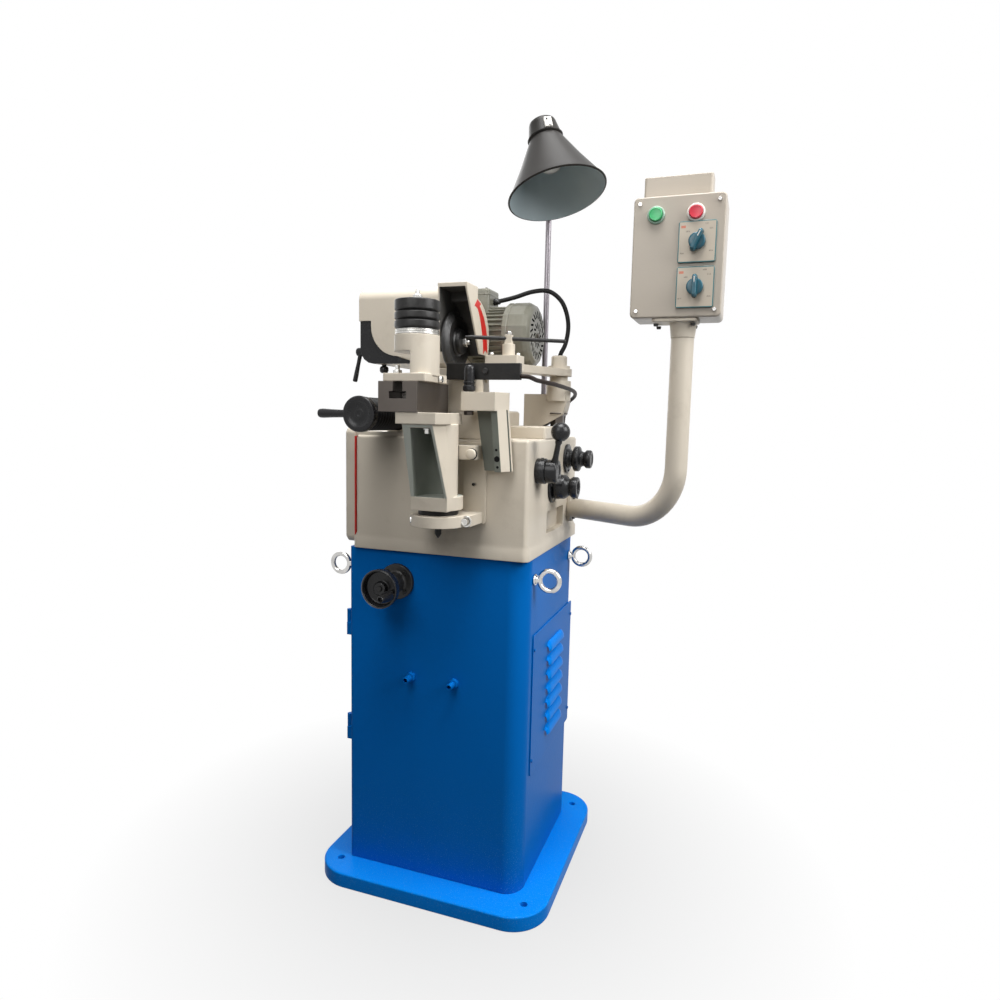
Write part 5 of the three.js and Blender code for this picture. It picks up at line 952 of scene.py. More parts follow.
def make_body():
    body = Piece("body_skin").cad("body_casting").eased(2.0, 3)
    body.done("stand", "cream_paint", cream, stands_for=["body_casting"])
    low, _ = span("body_casting")
    left, front = stripe["x"], low.y + stripe["behind"]
    across = (left, left + stripe["wide"], front, front + stripe["deep"])
    line = Piece("line_stock").block(*across, stripe["low"], stripe["high"], 0.1, 0.1)
    line.done("stand", "red_cap", red_paint)
    dress("left_cover", "stand", "cream_paint", cream, ease=2.2, segments=3)
    dress("head_saddle", "stand", "cream_paint", cream, ease=2.0, segments=3)


make_body()


# The levers and knobs on the body's right side: glossy black phenolic over steel shafts.
# The lever swings on a moulded bearing; both knobs are stepped, over a flange with three screws.
body_side = 184.3
lever = {"at": (-123, 856), "hub": 22, "thick": 22, "length": 82, "ball": 17.5, "middle": 11}
lever_lean = {"forward": 20.6, "outward": 14}
lever_bearing = {"radius": 24, "deep": 18, "bore": 9.4}
shaft = {"inside": 171.5, "lever": 9, "knob": 8}
knob_flange = {"thick": 5, "screw_turn": 2.1}


def make_lever():
    face, (y, z) = body_side, lever["at"]
    size, deep, bore = lever_bearing["radius"], lever_bearing["deep"], lever_bearing["bore"]
    piece = Piece("lever_bearing_skin").turned("x", [
        (bore, 0), (size, 0), (size, deep - 2), (size - 2, deep), (size - 5, deep), (size - 6, deep - 1),
        (bore, deep - 1), (bore, 0),
    ], lever["at"], 72, start=face)
    with_screws(piece, oxide, [((face + 9, y, z + size - 0.6), (0, 0, 1))], 3, 1.0, 1.8)
    piece.done("stand", "black_plastic", moulding, stands_for=["lever_bearing"])

    start, hub, thick = face + deep + 0.5, lever["hub"], lever["thick"]
    piece = Piece("lever_skin").turned("x", [
        (0, 0), (hub - 1, 0), (hub, 1), (hub, thick - 3), (hub - 0.8, thick - 1), (hub - 3, thick),
        (hub - 8, thick), (hub - 9, thick - 1.5), (0, thick - 1.5),
    ], lever["at"], 72, start=start)
    piece.rod("x", shaft["lever"], shaft["inside"], start + 1, lever["at"], 40)
    lean = shift(start + lever["middle"], y, z)
    lean = lean @ turn(lever_lean["forward"], "X") @ turn(lever_lean["outward"], "Y")
    length, ball = lever["length"], lever["ball"]
    arc = [math.radians(a) for a in range(-68, 91, 6)]
    round_end = [(ball * math.cos(a), length + ball * math.sin(a)) for a in arc]
    stem = [(0, 0), (8.2, 0), (7.6, hub - 1), (5.5, hub + 7), (5.1, length - 26)]
    collar = [(6.6, length - 22), (6.6, length - 17.5)]
    piece.turned("z", [*stem, *collar, *round_end[:-1], (0, length + ball)], (0, 0), 56, matrix=lean)
    piece.done("speed_lever", "black_plastic", moulding, stands_for=["speed_lever"])


def make_knob(node, body, centre, profile, screws_out, first_screw, shank=True):
    """A stepped knob, drawn from the body's side outwards, with three screws in its flange."""
    piece = Piece(node + "_skin").turned("x", profile, centre, 80, start=body_side)
    if shank:
        piece.rod("x", shaft["knob"], shaft["inside"], body_side + 1, centre, 40)
    y, z = centre
    face = body_side + knob_flange["thick"]
    turns = [first_screw + i * knob_flange["screw_turn"] for i in range(3)]
    places = [((face, y + screws_out * math.cos(a), z + screws_out * math.sin(a)), (1, 0, 0)) for a in turns]
    with_screws(piece, oxide, places, 2.6, 1.2, 1.4, finish=1)
    piece.done(body, "black_plastic", moulding, oxide, stands_for=[node])


def make_knobs():
    thick = knob_flange["thick"]
    make_knob("upper_knob", "upper_knob", (95, 869), [
        (0, 0), (31, 0), (31, 3.4), (30, 4.6), (28, thick), (22.5, thick), (21, 7.5), (17.6, 11), (17, 14),
        (18.5, 16), (25, 17.5), (27, 19.5), (27, 27), (25.4, 29), (18, 32), (16, 35), (15.2, 39),
        (17.5, 42), (19.5, 44), (19.5, 52), (18.3, 54), (16, 55), (13, 55), (11.5, 53.6), (0, 53.6),
    ], 25.8, 0.5)
    make_knob("lower_knob", "cam_shaft", (-17, 818), [
        (0, 22), (12.4, 22), (12.4, 0), (33, 0), (33, 3.4), (32, 4.6), (30, thick), (21.5, thick), (23, 6),
        (25, 9), (25, 14), (24, 25), (22.6, 30), (17.5, 35), (17, 38), (19.5, 41), (21, 43),
        (21, 51.6), (20, 53.4), (18.5, 54), (14, 54), (12.6, 53), (11.6, 50), (0, 50),
    ], 26.8, 0.9, shank=False)


make_lever()
make_knobs()


# The blade holder on the front: a cast bracket, the swinging arm with its channel and a steel slot block.
# The carriage on top slides in the tee slot and carries the blade's arbor.
# Worn faces are blackened or bare, and the arm's channel has a thin grey-green primer.
blackened = Finish("blackened", specular_ior_level=0.15)
blackened.mottle(blackened.noise(70, 3.0), (0.010, 0.010, 0.010), (0.026, 0.025, 0.024), 0.3, 0.25)
blackened.relief(blackened.noise(400, 2.0), 0.0003, edge=0.0008)
bright = Finish("bright_steel", metallic=1.0)
turned_lines = bright.streaks((80, 80, 1200), 3.0)
bright.mottle(bright.noise(30), (0.50, 0.49, 0.47), (0.66, 0.65, 0.62), 0.16, 0.18, turned_lines)
bright.relief(turned_lines, 0.00012, edge=0.0005)
# The channel's grey-green primer, as a much lighter copy than the hanger's: painted light in the channel's
# shade.
pale_primer = Finish("pale_primer", specular_ior_level=0.3)
pale_primer.mottle(pale_primer.noise(30, 4.0), (0.34, 0.36, 0.32), (0.46, 0.48, 0.43), 0.28, 0.3)
pivot = (38, -248)
seat = {"low": 759.4, "high": 780.4, "pin": 9, "washer": 36.6}
pin_foot = [(0, 736), (1.6, 737.5), (6, 744), (6, 758), (0, 758)]
clamp_bolt = {"at": (94, 888.5), "face": -230.5}
stop_bolts = [((92, -249.4, 770), (0, -1, 0)), ((4, -272, 771), (-0.9, -0.44, 0))]
plug = {"at": (81, 830.4), "face": -189.3, "radius": 3}


def make_bracket():
    piece = Piece("bracket_skin").cad("pivot_bracket").eased(1.6, 3)

    def near_pivot(p, radius):
        return math.dist((p.x, p.y), pivot) < radius

    piece.repaint(1, lambda p: near_pivot(p, seat["washer"]) and p.z > seat["high"])
    piece.repaint(1, lambda p: p.z < seat["low"] and near_pivot(p, seat["pin"]))
    (x, z), face = clamp_bolt["at"], clamp_bolt["face"]
    # A thin black disc behind the cream bolt head stands for the shadow round it: painted shade.
    piece.rod("y", 10.4, face - 1.1, face, (x, z), 40, 0.3, finish=1)
    piece.rod("y", 9.2, face - 6, face, (x - 1, z), 40, 1.4)
    (x, y, z), _ = stop_bolts[0]
    piece.rod("y", 10.2, y, y + 1.9, (x, z), 40, 0.4, finish=2)
    with_screws(piece, bright, stop_bolts, 7.4, 6, 3.6, finish=2)
    piece.rod("y", plug["radius"], plug["face"] - 0.2, plug["face"] + 1, plug["at"], 24, 0.1, finish=1)
    piece.turned("z", pin_foot, pivot, 32, finish=1)
    piece.done("stand", "cream_paint", cream, blackened, bright, stands_for=["pivot_bracket"])


channel = {"foot": 814, "low": 813.4, "high": 935, "back": -323, "left": 9.4, "right": 70}
channel_taper = {"left": 15, "right": 9.2}
arm_screw = {"at": (40, -300), "top": 934.2, "radius": 7.5, "washer": 10.5}


def in_channel(p):
    """Whether a face is inside the arm's channel, whose sides draw together towards the top."""
    up = p.z - channel["foot"]
    left = channel["left"] + up / channel_taper["left"]
    right = channel["right"] - up / channel_taper["right"]
    return channel["low"] < p.z < channel["high"] and channel["back"] < p.y and left < p.x < right


def make_swing_arm():
    # The channel takes the lighter copy of the primer: painted light.
    piece = Piece("arm_skin").cad("swing_arm").eased(1.4, 3).repaint(2, in_channel)
    at, top = arm_screw["at"], arm_screw["top"]
    piece.rod("z", arm_screw["radius"], top, top - 10.2, at, 32, finish=1)
    piece.rod("z", arm_screw["washer"], top - 0.3, top - 3.2, at, 40, finish=1)
    piece.done("swing_arm", "cream_paint", cream, bright, pale_primer, stands_for=["swing_arm"])
    dress("tslot_block", "swing_arm", "machined_steel", ground, ease=0.7)


stack = {"at": (10.5, -283), "bore": 4.3, "ring": 38, "collar": 39}
bare = {"above": 1090.2, "below": 1009.4}
thread = {"start": 1149, "step": 0.15, "points": 120, "a_turn": 12, "radius": 3.75, "wire": 0.45}
stud = {"at": (-18, -300), "nut": 7.6, "radius": 4, "low": 1024, "nut_top": 1031, "top": 1039}
lock_screw = ((46, -268, 1017), (1, 0, 0))


def make_carriage():
    piece = Piece("carriage_skin").cad("arbor_carriage").eased(1.3, 3)
    piece.repaint(1, lambda p: p.z > bare["above"] or p.z < bare["below"])
    helix = []
    for i in range(thread["points"]):
        angle = 2 * math.pi * i / thread["a_turn"]
        x = stack["at"][0] + thread["radius"] * math.cos(angle)
        y = stack["at"][1] + thread["radius"] * math.sin(angle)
        helix.append((x, y, thread["start"] + i * thread["step"]))
    piece.tube(helix, thread["wire"], steps=6, finish=1)
    piece.rod("z", stud["nut"], stud["low"], stud["nut_top"], stud["at"], 6, 0.7, finish=1)
    piece.rod("z", stud["radius"], stud["nut_top"] - 1, stud["top"], stud["at"], 28, finish=1)
    with_screws(piece, bright, [lock_screw], 6, 4, 2.6, finish=1)
    piece.done("arbor_carriage", "cream_paint", cream, bright, stands_for=["arbor_carriage"])


make_bracket()
make_swing_arm()
make_carriage()


# The arbor: a grooved bright ring, three blackened centring collars, and a plated nut on its washer.
# The ring and collars are turned; they lie loose on the spindle, and the nut holds them.
ring_low = 1090.1
collars = {"lower": (1099.4, 1113.6), "middle": (1113.9, 1128.1), "upper": (1128.4, 1148.4)}
nut = {"low": 1148.7, "washer": 10, "washer_top": 1151.2, "hexagon": 8.0, "top": 1158.2}


def make_collar(name, low, high):
    bore, size, tall = stack["bore"], stack["collar"], high - low
    profile = [
        (bore, 0), (size - 3.5, 0), (size - 3.2, 0.8), (size - 0.4, 3.2), (size, 4), (size, tall - 2.2),
        (size - 0.5, tall - 0.9), (size - 2, tall),
    ]
    if name == "upper":
        profile += [(size - 9, tall), (size - 9.8, tall - 0.5), (size - 24, tall - 0.5), (size - 25, tall)]
    piece = Piece(f"collar_{name}")
    piece.turned("z", [*profile, (bore, tall), (bore, 0)], stack["at"], 128, start=low)
    piece.done("arbor_stack", "black_steel", oxide, stands_for=[f"arbor_collar_{name}"])


def make_arbor():
    at, bore, size = stack["at"], stack["bore"], stack["ring"]
    Piece("ring_skin").turned("z", [
        (bore, 0), (size - 1, 0), (size, 0.8), (size, 2.8), (size - 1.6, 3.4), (size - 1.6, 4.2),
        (size, 4.8), (size, 6), (size - 1.4, 6.5), (size - 1.4, 7.1), (size - 0.3, 7.6),
        (size - 0.3, 8.4), (size - 1.2, 9), (bore, 9), (bore, 0),
    ], at, 128, start=ring_low).done("arbor_stack", "bright_steel", bright, stands_for=["arbor_ring"])
    for name, (low, high) in collars.items():
        make_collar(name, low, high)
    low, top, washer = nut["low"], nut["washer_top"], nut["washer"]
    inner = washer - 0.6
    piece = Piece("nut_skin").turned("z", [
        (bore, low), (inner, low), (washer, low + 0.5), (washer, top - 0.5), (inner, top), (bore, top),
        (bore, low),
    ], at, 56)
    piece.rod("z", nut["hexagon"], top, nut["top"], at, 6, 0.9)
    piece.done("arbor_nut", "bright_steel", bright, stands_for=["arbor_nut"], crease=28)


make_arbor()


# The crank on the left: a black moulded disc with a dished ring, a ribbed rubber sleeve and a side handle.
# The sleeve is ribbed like bellows between the disc and the body.
crank = {"at": (-94, 955), "front": -302, "disc": 32, "deep": 14, "shaft": 9, "shaft_end": -100}
sleeve = {"radius": 30, "end": -150, "ribs": 14, "rib": 2.6, "waist": 0.75}


def ribbed(start):
    """The sleeve's profile: between two waists each rib swells and falls evenly."""
    high, deep, ribs = sleeve["radius"], sleeve["rib"], sleeve["ribs"]
    pitch = (sleeve["end"] - start) / ribs
    low, waist, brow = high - deep, high - deep * sleeve["waist"], high - 0.4
    half = [(low, 0.0), (waist, 0.12), (brow, 0.36), (high, 0.5), (brow, 0.64), (waist, 0.88)]
    swells = [(radius, start + (i + share) * pitch) for i in range(ribs) for radius, share in half]
    return [(0, start), *swells, (low, sleeve["end"]), (0, sleeve["end"])]


def make_crank():
    at, front, disc, deep = (crank[key] for key in ("at", "front", "disc", "deep"))
    piece = Piece("crank_skin").turned("y", [
        (0, 3.4), (4, 3.4), (5, 2.6), (9, 2.6), (10, 3.6), (disc - 13, 4), (disc - 9.6, 1), (disc - 8, 0.2),
        (disc - 2.4, 0), (disc - 0.6, 0.8), (disc, 2.4), (disc, deep - 1), (disc - 1, deep), (0, deep),
    ], at, 96, start=front)
    piece.turned("y", ribbed(front + deep - 0.5), at, 72, finish=1)
    piece.rod("y", crank["shaft"], sleeve["end"] - 1, crank["shaft_end"], at, 40)
    piece.turned("x", [
        (0, -178), (5.5, -178), (7.4, -177), (8.2, -174.6), (8.5, -168), (7.6, -152), (7.0, -132),
        (6.6, -118), (0, -118),
    ], (front + 7, at[1]), 48)
    piece.done("crank_sleeve", "black_plastic", moulding, cord_rubber, stands_for=["crank_sleeve"])


make_crank()


# The grinding head: a closed cream casting with a rounded upper front edge.
# A glossy black sheet is let into the notch at its left, down the front and round the lower corner.
head_sheet = {"front": -120, "deep": 5, "top": 1140, "right": -95}


def make_head():
    piece = Piece("head_skin").cad("head_housing").eased(1.6, 3, angle=32)
    front, back = head_sheet["front"] + 0.2, head_sheet["front"] + head_sheet["deep"] + 0.6
    top, right = head_sheet["top"] + 1, head_sheet["right"]
    piece.repaint(1, lambda p: front < p.y < back and p.z < top and p.x < right)
    piece.done("grinding_head", "cream_paint", cream, moulding, stands_for=["head_housing"], crease=40)


make_head()


# The wheel guard: a bent and welded steel box in the cream enamel, open at the front and below.
# Its inside is painted dark grey, as painted shade, and a red arrow on its right face shows which way the
# wheel turns.
guard_lining = Finish("guard_lining", specular_ior_level=0.3)
guard_lining.mottle(guard_lining.noise(45, 4.0), (0.050, 0.048, 0.045), (0.100, 0.097, 0.090), 0.6)
guard = {"middle": (-111, 1104), "inner": 73.4, "left": -7, "right": 46, "roof": 1193.5, "back": -100}
guard_rims = [(lambda p: p.x > 44, (0, -0.86, -0.51)), (lambda p: p.y < -145, (0, -1, -0.06))]
arrow = {"from": 48.8, "to": 49.25}
arrow_head = [(-118, 1164), (-104, 1178), (-84, 1171), (-92, 1167)]
arrow_shaft = [(-82, 1160), (-67, 1147), (-55, 1130), (-50, 1116), (-47, 1102), (-46, 1088), (-44, 1080)]
arrow_tail = [(-58, 1086), (-68, 1077)]
arrow_inner = [(-69, 1088), (-71, 1100), (-77, 1118), (-83, 1132), (-91, 1147), (-101, 1160)]


def make_guard():
    piece = Piece("guard_skin").cad("wheel_guard").eased(1.2, 3)
    left, right, inner = guard["left"], guard["right"], guard["inner"]
    # Faces inside the guard take the dark finish: painted shade.
    piece.repaint(1, lambda p: math.dist((p.y, p.z), guard["middle"]) < inner and left < p.x < right)
    roof, back = guard["roof"], guard["back"]
    piece.repaint(1, lambda p: p.z < roof and p.y < back and left + 0.5 < p.x < right - 0.5)
    for test, facing in guard_rims:
        piece.repaint(0, test, Vector(facing))
    piece.done("grinding_head", "cream_paint", cream, guard_lining, stands_for=["wheel_guard"])
    outline = arrow_head + arrow_shaft + arrow_tail + arrow_inner
    sign = Piece("turning_arrow").slab("x", outline, arrow["from"], arrow["to"], 0)
    sign.done("grinding_head", "red_cap", red_paint)


make_guard()


# The grinding wheel: a dished resin-bonded disc of fine grit that glints a little.
# Its hub and nut are turned from steel, and its shaft runs back into the head.
bond = Finish("bonded_grit", specular_ior_level=0.5)
grains = bond.noise(1500, 2.0, 0.7)
glint = bond.ramp(grains, 0.4, 0.7)
bond.mottle(bond.noise(26, 3.0), (0.008, 0.008, 0.008), (0.022, 0.021, 0.020), 0.18, 0.4, glint)
bond.relief(grains, 0.0004)
wheel = {"at": (-100, 1098), "back": -5, "shaft": 11, "shaft_end": -80, "nut": 10, "bolt": 5}


def make_wheel():
    at, back = wheel["at"], wheel["back"]
    piece = Piece("wheel_skin").turned("x", [
        (0, 0), (49, 0), (54, 1), (57.4, 4), (58, 6), (58, 9), (57, 11), (50, 16.4), (48, 17),
        (36, 15.4), (30, 14), (29, 13), (0, 13),
    ], at, 112, start=back)
    piece.turned("x", [
        (0, 12), (27, 12), (27, 15), (24, 17.5), (24, 21), (22.4, 24.4), (20, 25), (0, 25),
    ], at, 72, finish=2, start=back)
    hub = back + 25
    piece.rod("x", wheel["nut"], hub, hub + 9, at, 6, 1.2, finish=1)
    piece.rod("x", wheel["bolt"], hub + 8, hub + 13.5, at, 32, 1.2, finish=1)
    piece.rod("x", wheel["shaft"], wheel["shaft_end"], back + 1, at, 40, finish=1)
    piece.done(
        "grinding_wheel", "grinding_grit", bond, bright, oxide, stands_for=["grinding_wheel"], crease=32,
    )


make_wheel()


# The grinding motor: a finned aluminium frame in grey enamel with a terminal box on top.
# A turned fan cowl with slanting air slots covers its right end.
engine = {"at": (24, 1122), "start": -9.7, "fins_to": 75, "radius": 55, "flange": 57, "shaft": 7}
fin = {"count": 34, "half": 1.1, "out": 4.5}
cowl = {"start": 75.3, "right": 132, "radius": 66, "sides": 16}
air_slot = {"half": 2.1, "lean": 32, "corner": 1.8}
slot_rings = [{"radius": 41, "count": 22, "length": 17}, {"radius": 20, "count": 12, "length": 13}]
terminal_box = {"left": -9, "right": 37, "front": -10, "back": 54, "corner": 8, "low": 1160, "top": 1216}
box_seam = {"out": 0.6, "low": 1203, "high": 1204.4}


def centred(piece):
    """Moves what was drawn round the x axis to the motor's own axis."""
    bmesh.ops.translate(piece.mesh, verts=piece.mesh.verts, vec=Vector((0, *engine["at"])) * mm)
    return piece


def add_terminal_box(piece):
    left, right, front, back, corner, low, top = terminal_box.values()
    out = box_seam["out"]
    piece.slab("z", rounded(left, right, front, back, corner, 6), low, top, 5, soft=3)
    seam = rounded(left - out, right + out, front - out, back + out, corner + out, 6)
    piece.slab("z", seam, box_seam["low"], box_seam["high"], 0.3)
    corners = [(x, y) for x in (left + 9, right - 9) for y in (front + 9, back - 9)]
    with_screws(piece, ground, [((x, y, top), (0, 0, 1)) for x, y in corners], 2.6, 1.2, 1.4, 4, finish=1)
    gland = [(0, 36), (7, 36), (7, 44), (5.4, 46), (5.4, 50), (0, 50)]
    piece.turned("x", gland, (22, 1192), 6, finish=2)


def make_motor():
    at, start, to, radius, flange = (engine[key] for key in ("at", "start", "fins_to", "radius", "flange"))
    length = to - start
    piece = Piece("motor_skin").turned("x", [
        (0, 0), (flange - 1, 0), (flange, 1), (flange, 7), (flange - 1, 8), (radius, 10),
        (radius, length - 4), (radius - 1, length - 3), (radius - 1, length), (0, length),
    ], at, 96, start=start)
    piece.rod("x", engine["shaft"], start - 40, start + 1, at, 32)
    half, count, out = fin["half"], fin["count"], radius + fin["out"]
    rib = Piece("fin").block(start + 12, to - 2, -half, half, radius - 1, out, 0.5, 0.7)
    piece.add(centred(in_row(Piece("fins"), motor_grey, rib, count, twist=360 / count)).plain())
    add_terminal_box(piece)
    piece.done("grinding_head", "motor_paint", motor_grey, ground, moulding, stands_for=["grinding_motor"])


def make_cowl():
    at, start, right, size = engine["at"], cowl["start"], cowl["right"], cowl["radius"]
    length = right - start
    piece = Piece("cowl_skin").turned("x", [
        (0, 0), (size - 1, 0), (size, 1), (size, 9), (size - 0.9, 10), (size - 0.9, 12), (size, 13),
        (size, length - 15), (size - 1.2, length - 11), (size - 5, length - 5), (size - 9.5, length - 1.6),
        (size - 12, length - 0.6), (size - 14, length), (40, length), (39, length - 0.7), (38, length),
        (0, length),
    ], at, cowl["sides"], start=start)
    slots = Piece("slots")
    half = air_slot["half"]
    for ring in slot_rings:
        reach, count = ring["length"] / 2, ring["count"]
        place = shift(0, 0, ring["radius"]) @ turn(air_slot["lean"], "X")
        shape = Piece("slot")
        shape.block(right - 5, right + 2, -half, half, -reach, reach, air_slot["corner"], 0.1, matrix=place)
        in_row(slots, motor_grey, shape, count, twist=360 / count, finish=1)
    piece.carved(centred(slots))
    # The cowl's inside end behind the slots is painted near-black, as painted shade.
    low, high, inside = right - 8, right - 1.5, size - 14
    piece.repaint(1, lambda p: low < p.x < high and math.dist((p.y, p.z), at) < inside)
    with_screws(piece, ground, [((right, *at), (1, 0, 0))], 5, 2.4, 2.6, finish=2)
    piece.done(
        "grinding_head", "motor_paint", motor_grey, black_pit, ground, stands_for=["motor_fan_cowl"],
        crease=18,
    )


make_motor()
make_cowl()


# The head's clamp lever and infeed knob, in the same black moulding.
# The lever hangs at a slant from a hub on the head's left, and the knob is under the head.
clamp = {"at": (-99, 1081), "face": -200.3, "hub": 9, "inside": -188, "rod": 5, "hangs": (-208.3, -99, 1081)}
clamp_slant = 13
infeed = {"at": (-158, -92), "top": 1055.7}


def make_head_controls():
    hub, face = clamp["hub"], clamp["face"]
    piece = Piece("clamp_lever_skin").turned("x", [
        (0, -16), (hub - 3, -16), (hub - 1, -15), (hub, -12), (hub, -1), (hub - 0.6, 0), (0, 0),
    ], clamp["at"], 48, start=face)
    piece.rod("x", clamp["rod"], face - 1, clamp["inside"], clamp["at"], 32)
    hang = shift(*clamp["hangs"]) @ turn(clamp_slant, "Y")
    piece.turned("z", [
        (0, -62), (3, -62), (4.6, -61), (5, -58), (4.8, -44), (4.0, -24), (4.4, 0), (0, 0),
    ], (0, 0), 36, matrix=hang)
    piece.done("head_clamp_lever", "black_plastic", moulding, stands_for=["head_clamp_lever"])
    piece = Piece("infeed_skin").turned("z", [
        (0, -17), (5, -17), (7.6, -15.4), (9, -12), (9, -7), (7.4, -4), (4.5, -2.6), (4.5, 10), (0, 10),
    ], infeed["at"], 48, start=infeed["top"])
    piece.done("infeed_knob", "black_plastic", moulding, stands_for=["infeed_knob"])


make_head_controls()


# The feed post: a cast stand with a bare ground shaft under its boss, and the swinging arm on it.
# The arm carries the pawl rod in a clamp; the clamp's screw and the screws on its pad are plated.
post = {"at": (173, 50), "shaft": 15.2, "low": 937.4, "high": 989, "washer": 21, "washer_low": 963.4}
post_hole = {"radius": 7.4, "above": 1060}
pawl = {"at": (116, -108, 1102), "turn": 32, "screw": 5.5, "screw_low": 7.3, "shank": 3}
pad_screws = [((86, -119, 1070), (0, 0, 1)), ((132, -99, 1070), (0, 0, 1))]


def make_feed():
    def from_axis(p):
        return math.dist((p.x, p.y), post["at"])

    piece = Piece("post_skin").cad("feed_post").eased(1.4, 3)
    piece.repaint(1, lambda p: from_axis(p) < post["shaft"] and post["low"] < p.z < post["high"])
    # The top of the post's hole is painted near-black, as painted shade.
    piece.repaint(2, lambda p: from_axis(p) < post_hole["radius"] and p.z > post_hole["above"])
    piece.rod("z", post["washer"], post["washer_low"], post["washer_low"] + 2.6, post["at"], 48, finish=1)
    piece.done("stand", "cream_paint", cream, ground, black_pit, stands_for=["feed_post"])

    piece = Piece("feed_arm_skin").cad("feed_arm").eased(1.2, 3)
    with_screws(piece, bright, pad_screws, 4.5, 4, 2.4, finish=1)
    piece.done("feed_arm", "cream_paint", cream, bright, stands_for=["feed_arm"])

    x, y, z = pawl["at"]
    head = z + pawl["screw_low"]
    screw = Piece("pawl_screw_skin").rod("z", pawl["screw"], head, head + 6, (x, y), 6, 0.7)
    screw.rod("z", pawl["shank"], z + 3.9, head + 0.5, (x, y), 24)
    screw.done("pawl_clamp_screw", "bright_steel", bright, stands_for=["pawl_clamp_screw"], crease=28)
    finger = Piece("pawl_skin").turned("x", [
        (0, -84), (1.6, -84), (2.2, -83), (3.5, -74), (3.6, -72), (3.6, 110), (2.8, 112), (0, 112),
    ], (0, 0), 40, matrix=shift(x, y, z) @ turn(pawl["turn"], "Z"))
    finger.done("pawl_rod", "black_steel", oxide, stands_for=["pawl_rod"])


make_feed()


# The guide bar on its bracket: blackened steel, set by a vertical adjusting screw with a hexagon nut below.
# The bracket that hangs from the bar's end is cast, with a primed inner cheek and three drilled holes.
# The hanger's copy of the grey-green primer, darker than the arm channel's copy: painted shade.
primer = Finish("grey_green_primer", specular_ior_level=0.3)
film_of = primer.noise(30, 4.0)
primer.mottle(film_of, (0.10, 0.108, 0.092), (0.155, 0.165, 0.140), 0.28, 0.3)
primer.relief(film_of, 0.0004, edge=0.001)
adjuster = {"at": (77, -207), "low": 957, "nut": 9, "nut_top": 964.7, "shank": 4.25, "hanger_top": 998.3}
bar_screw = ((104, -196, 1036), (0, -1, 0))
cheek = {"below": 966.5, "face": -222.25, "holes": [(138, 881, 5.2), (136.5, 897, 2.4), (139.4, 866.5, 2.4)]}


def make_guide():
    bar = Piece("guide_skin").cad("guide_bar").eased(0.7, 2)
    with_screws(bar, oxide, [bar_screw], 5.5, 4, 2.8, finish=1)
    bar.done("stand", "black_steel", blackened, oxide, stands_for=["guide_bar"])
    at, top, low = adjuster["at"], adjuster["hanger_top"], adjuster["low"]
    screw = Piece("adjuster_skin").turned("z", [
        (0, 0), (8, 0), (8.5, 0.6), (11.4, 3), (11.5, 4), (11.5, 10), (10.4, 11), (9.4, 12), (9.4, 14),
        (10.8, 15), (10.8, 18), (9.4, 19), (10, 20.7), (10, 40.7), (9, 44.7), (6.4, 47.3), (0, 47.7),
    ], at, 56, start=top)
    screw.rod("z", adjuster["shank"], low + 1, top + 1, at, 32)
    screw.rod("z", adjuster["nut"], low, adjuster["nut_top"], at, 6, 1.0, finish=1)
    screw.done("adjusting_screw", "black_steel", moulding, ground, stands_for=["adjusting_screw"], crease=32)
    hanger = Piece("hanger_skin").cad("hanger_bracket").eased(1.2, 3)
    hanger.repaint(1, lambda p: p.z < cheek["below"], facing=Vector((0, -1, 0)))
    # The cheek's three holes are discs of painted shade.
    for x, z, radius in cheek["holes"]:
        hanger.rod("y", radius, cheek["face"], cheek["face"] + 1.25, (x, z), 28, 0.1, finish=2)
    hanger.done("stand", "cream_paint", cream, primer, black_pit, stands_for=["hanger_bracket"])


make_guide()


# The control arm: a bent steel tube in the cream enamel, with a flange at the body and a plate at the box.
# Black cap screws hold both ends.
tube = {"radius": 21.2, "start": (184.3, 130, 759), "corner": (425, 0, 759), "top": 1140.7, "bend": 105}
flange = {"half_y": 24, "half_z": 31, "thick": 9, "screws_y": 17, "screws_z": 25.5}
skirt = [(0, 1110), (0.8, 1110), (3.5, 1134), (8, 1138.2)]
under_plate = {"half_x": 42, "half_y": 30, "low": 1137.7, "high": 1143.7, "screws_x": 34, "screws_y": 22}
body_inside = {"left": 100, "front": 60, "back": 220, "low": 700, "high": 830}
case = {
    "x": 411, "half": 82.5, "front": -33, "seam": -17, "back": 57, "bottom": 1144, "top": 1362, "corner": 9,
}


def arm_route():
    """From the body level to the corner, round the bend and straight up."""
    start, corner = Vector(tube["start"]), Vector(tube["corner"])
    top = Vector((corner.x, corner.y, tube["top"]))
    bend = tube["bend"]
    inward = (corner - start).normalized()
    up = Vector((0, 0, 1))
    low, high = corner - inward * bend, corner + up * bend
    centre = low + up * bend
    arc = [math.pi / 2 * k / 14 for k in range(1, 14)]
    curve = [centre + inward * math.sin(a) * bend - up * math.cos(a) * bend for a in arc]
    return [start, start.lerp(low, 0.5), low, *curve, high, high.lerp(top, 0.5), top]


